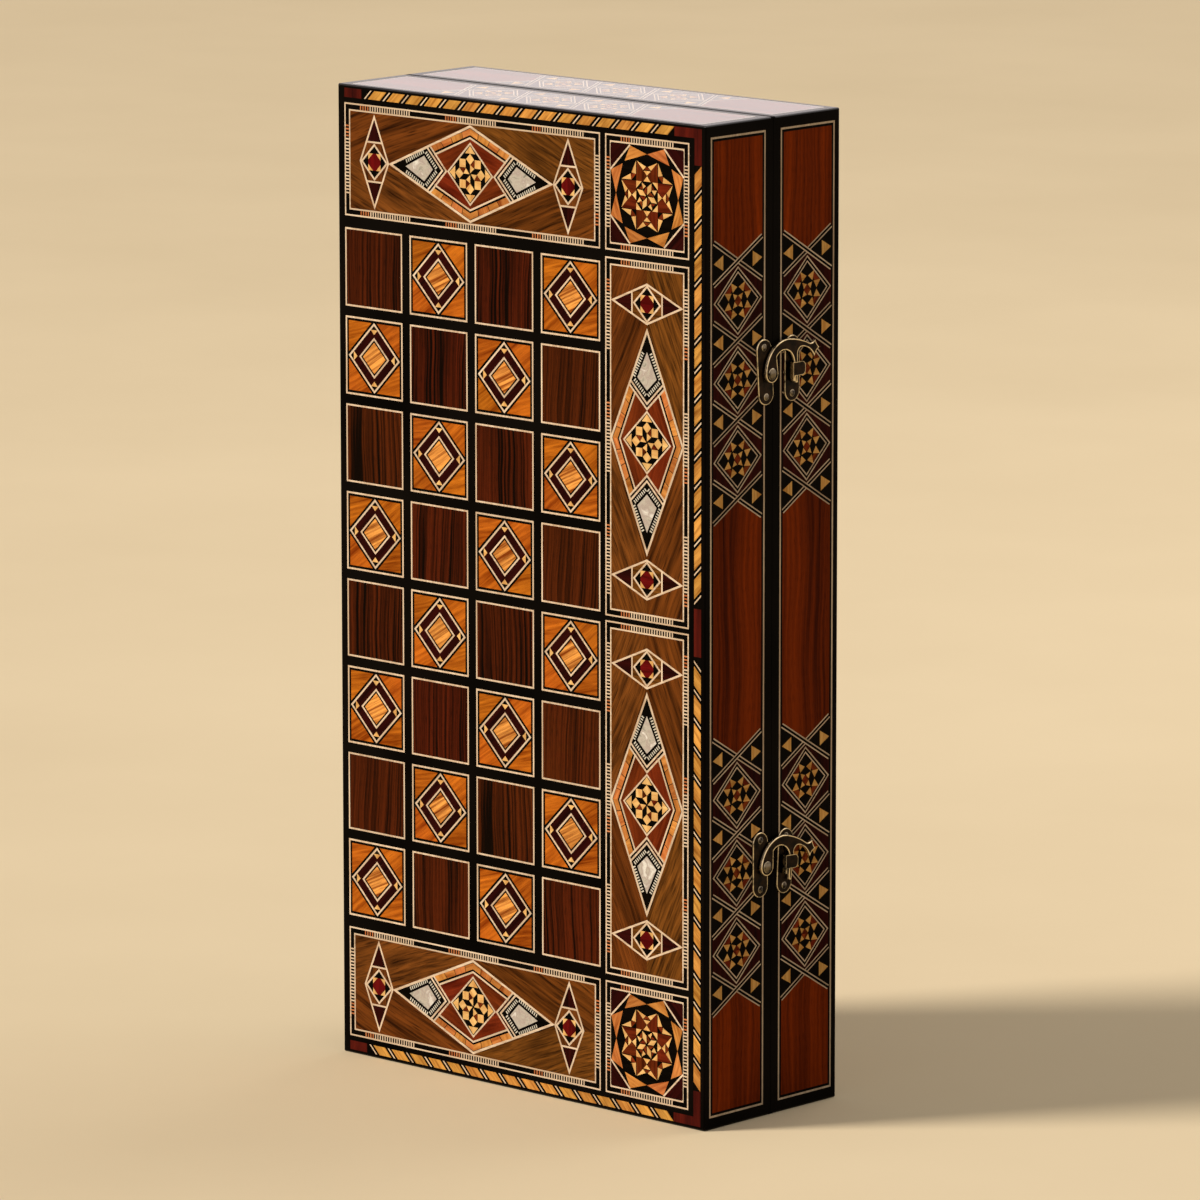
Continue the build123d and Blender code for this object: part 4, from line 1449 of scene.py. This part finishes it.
turned_on_points = turned_tree()
for kind, (body, seed, finish) in CHECKERS.items():
    middles = []
    for low, high in loose_parts(kind + "s"):
        for place in range(round((high.y - low.y) / MM / CHECKER_THICK)):
            y = low.y + (place + 0.5) * CHECKER_THICK * MM
            middles.append(((low.x + high.x) / 2, y, (low.z + high.z) / 2))
    radius, half_thick = (high.x - low.x) / 2, CHECKER_THICK * MM / 2
    upper_face = [(radius * share, half_thick - down * MM) for share, down in PROFILE]
    checker = lathe(kind, upper_face + [(r, -h) for r, h in reversed(upper_face)], finish)
    laid = grown(kind, turned_on_points, new_mesh(kind + "_places", middles), checker, {"Seed": seed})
    piece(kind + "_set", [(laid, AS_IS)], body, kind, kind + "s")

# %% [markdown]
# Pips and screw slots are real hollows. A Boolean modifier cuts them, and the hollow takes the
# finish of the shape that cuts: black in the pips, and black in the slots as well. Opposite
# sides of a die add up to seven, and each side of the first die shows what the opposite side of
# the second one does.

# %% Dice with pips
pip_paint = ebonised("pip_paint")
dice_bone = shell("dice_bone", [(214, 206, 186), (236, 230, 214)], 60.0, 0.3)
PIP_PITCH = 3.2
PIP_RADIUS = 1.2
PIP_OUT = 0.7
CORNERS = [(-1, -1), (1, 1), (-1, 1), (1, -1)]
PIPS = {1: [(0, 0)], 2: CORNERS[:2], 3: [(0, 0)] + CORNERS[:2], 4: CORNERS, 5: [(0, 0)] + CORNERS,
        6: [(-1, 0), (1, 0)] + CORNERS}
SIDES = {(1, 1): 5, (1, -1): 2, (0, 1): 4, (0, -1): 3, (2, 1): 6, (2, -1): 1}


def carved(name, node, finish, cutter):
    """A CAD node's shape with the shapes of another mesh cut out of it."""
    block = placed(name, mesh_of(welded(node), name, [finish]))
    tool = placed(name, mesh_of(cutter, name, [pip_paint]))
    modifier = block.modifiers.new("carving", "BOOLEAN")
    modifier.operation = "DIFFERENCE"
    modifier.solver = "EXACT"
    modifier.material_mode = "TRANSFER"
    modifier.object = tool
    made = plain_copy(block)
    for thing in (block, tool):
        bpy.data.objects.remove(thing)
    return [(made, AS_IS)]


work = bmesh.new()
for number, (low, high) in enumerate(loose_parts("dice")):
    reach = (high.x - low.x) / 2
    for (axis, sign), pips in SIDES.items():
        for a, b in sorted(PIPS[pips if number else 7 - pips]):
            place = Vector()
            place[axis] = sign * (reach + PIP_OUT * MM)
            place[(axis + 1) % 3] = a * PIP_PITCH * MM
            place[(axis + 2) % 3] = b * PIP_PITCH * MM
            middle = Matrix.Translation((low + high) / 2 + place)
            bmesh.ops.create_icosphere(work, subdivisions=2, radius=PIP_RADIUS * MM, matrix=middle)
piece("dice_pair", carved("dice_work", "dice", dice_bone, work), "front_half", "dice_bone", "dice")

# %% [markdown]
# The hinge screws are slotted, and each was driven home until it was tight, so no two slots lie
# the same way. A thin box, turned by chance with a fixed seed, cuts each slot.

# %% Slotted screws
SLOT_LONG, SLOT_DEEP, SLOT_WIDE = 6.0, 0.9, 0.55
screw_brass = metal("screw_brass", (168, 132, 66), (214, 180, 108), (240, 214, 150), 0.35, 60.0)
slot_chance = random.Random(9)
slot_size = Matrix.Diagonal((SLOT_LONG * MM, SLOT_DEEP * MM, SLOT_WIDE * MM, 1.0))
for half in OUTWARD:
    work = bmesh.new()
    for low, high in loose_parts(half + "_hinge_screws"):
        head = high.y if half == "front" else low.y
        middle = Matrix.Translation(((low.x + high.x) / 2, head, (low.z + high.z) / 2))
        turned = Matrix.Rotation(slot_chance.uniform(0, pi), 4, "Y")
        bmesh.ops.create_cube(work, size=1.0, matrix=middle @ turned @ slot_size)
    screws = carved(half + "_screw_work", half + "_hinge_screws", screw_brass, work)
    half_piece(half, "slotted_screws", screws, "hinge_brass", "hinge_screws")

# %% [markdown]
# The points of the playing field are inlay too: each has a pale string round it. The same slab
# cutter makes one dark and one light point, and the first tree lays them along both ends. The
# runs at the top go the other way, so their points are turned to face down.

# %% Points of the playing field
POINT_DEEP = 0.55


def point(name, wide, long, wood_name):
    outline = [(-wide / 2, 0.0), (wide / 2, 0.0), (0.0, long)]
    inner = drawn_in(outline, 0.8)
    slips = [(outline, "cream", 90), (inner, "black", 90), (drawn_in(inner, 0.6), wood_name, 90)]
    return slab(name, slips, POINT_DEEP)


for half, outward in OUTWARD.items():
    for kind, wood_name in (("dark", "maroon"), ("light", "honey")):
        node = f"{half}_{kind}_points"
        boxes = loose_parts(node)
        low, high = boxes[0]
        slip = point(node + "_slip", (high.x - low.x) / MM, (high.z - low.z) / MM, wood_name)
        ends = [(((low.x + high.x) / 2 / MM), low.z / MM, high.z / MM) for low, high in boxes]
        foot = sorted((x, z) for x, z, _ in ends if z < CASE_HIGH / 2)
        top = sorted(((x, top_z) for x, z, top_z in ends if z > CASE_HIGH / 2), reverse=True)
        runs = [(row[0], row[-1]) for row in (foot, top)]
        field_y = outward * min(abs(low.y), abs(high.y)) / MM
        place = face((0.0, field_y, 0.0), (1, 0, 0), (0, 0, 1), (0, -outward, 0))
        laid = laid_along(node, runs, slip, (foot[-1][0] - foot[0][0]) / 2)
        half_piece(half, kind + "_point_work", [(laid, place)], kind + "_point", kind + "_points")

# %% [markdown]
# The floor is plain and pale. The background is brighter to the camera and to shiny surfaces
# than to the object: a Light Path node says which ray asks, so the object isn't overlit.

# %% Floor and world
FLOOR_HALF = 14.0
AMBIENT = (0.25, 0.243, 0.235, 1.0)
BACKDROP = (0.86, 0.84, 0.80, 1.0)
MIRRORED_SKY = (1.2, 1.08, 1.06, 1.0)

floor_finish, start = new_material("pale_floor")
cloud = start.noise(start.place(), 3.0, 5.0)
finish_surface(floor_finish, cloud.mix(shade(223, 202, 166), shade(237, 216, 180)), cloud * 0.1 + 0.8, 0.0)
floor_corners = [(a, b, 0.0) for a, b in square(FLOOR_HALF)]
placed("floor", new_mesh("floor", floor_corners, [], [(0, 1, 2, 3)], [floor_finish]))

world = bpy.data.worlds.new("soft_sky")
bpy.context.scene.world = world
world.use_nodes = True
sky = Term(world.node_tree)
ray = sky.node("ShaderNodeLightPath")
shown = sky.math("MAXIMUM", ray.also("Is Camera Ray"), ray.also("Is Transmission Ray"))
colour = ray.also("Is Glossy Ray").mix(shown.mix(AMBIENT, BACKDROP), MIRRORED_SKY)
sky.feed(world.node_tree.nodes["Background"].inputs, {"Color": colour, "Strength": 1.0})
print("floor and sky")

# %% [markdown]
# The key light stands left of the front, as the sun does in the photograph, so the front is
# bright and the latched side lies in its own shade. A weak fill opens the shade, and a lamp from
# behind draws the edges.

# %% Lamps
LAMP_AWAY = 3.0


def lamp(name, kind, azimuth, elevation, energy, tint):
    """A lamp, its object and its way out from the case, at angles in degrees round and up."""
    light = bpy.data.lights.new(name, kind)
    light.energy = energy
    light.color = tint
    way = way_out(radians(azimuth), radians(elevation))
    return light, placed(name, light), way


def soft_lamp(name, azimuth, elevation, size, energy, tint):
    light, made, way = lamp(name, "AREA", azimuth, elevation, energy, tint)
    light.shape = "DISK"
    light.size = size
    aim = looking_back(way).to_matrix().to_4x4()
    made.matrix_world = Matrix.Translation(CASE_MIDDLE + way * LAMP_AWAY) @ aim


sun, made, way = lamp("key", "SUN", -38, 32, 3.4, (1.0, 0.95, 0.88))
sun.angle = radians(14)
made.rotation_mode = "QUATERNION"
made.rotation_quaternion = looking_back(way)
soft_lamp("fill", 75, 25, 3.0, 4, (0.92, 0.95, 1.0))
soft_lamp("rim", 170, 50, 2.6, 24, (1.0, 0.98, 0.95))
bpy.context.scene.view_settings.view_transform = "Standard"
print("three lamps")
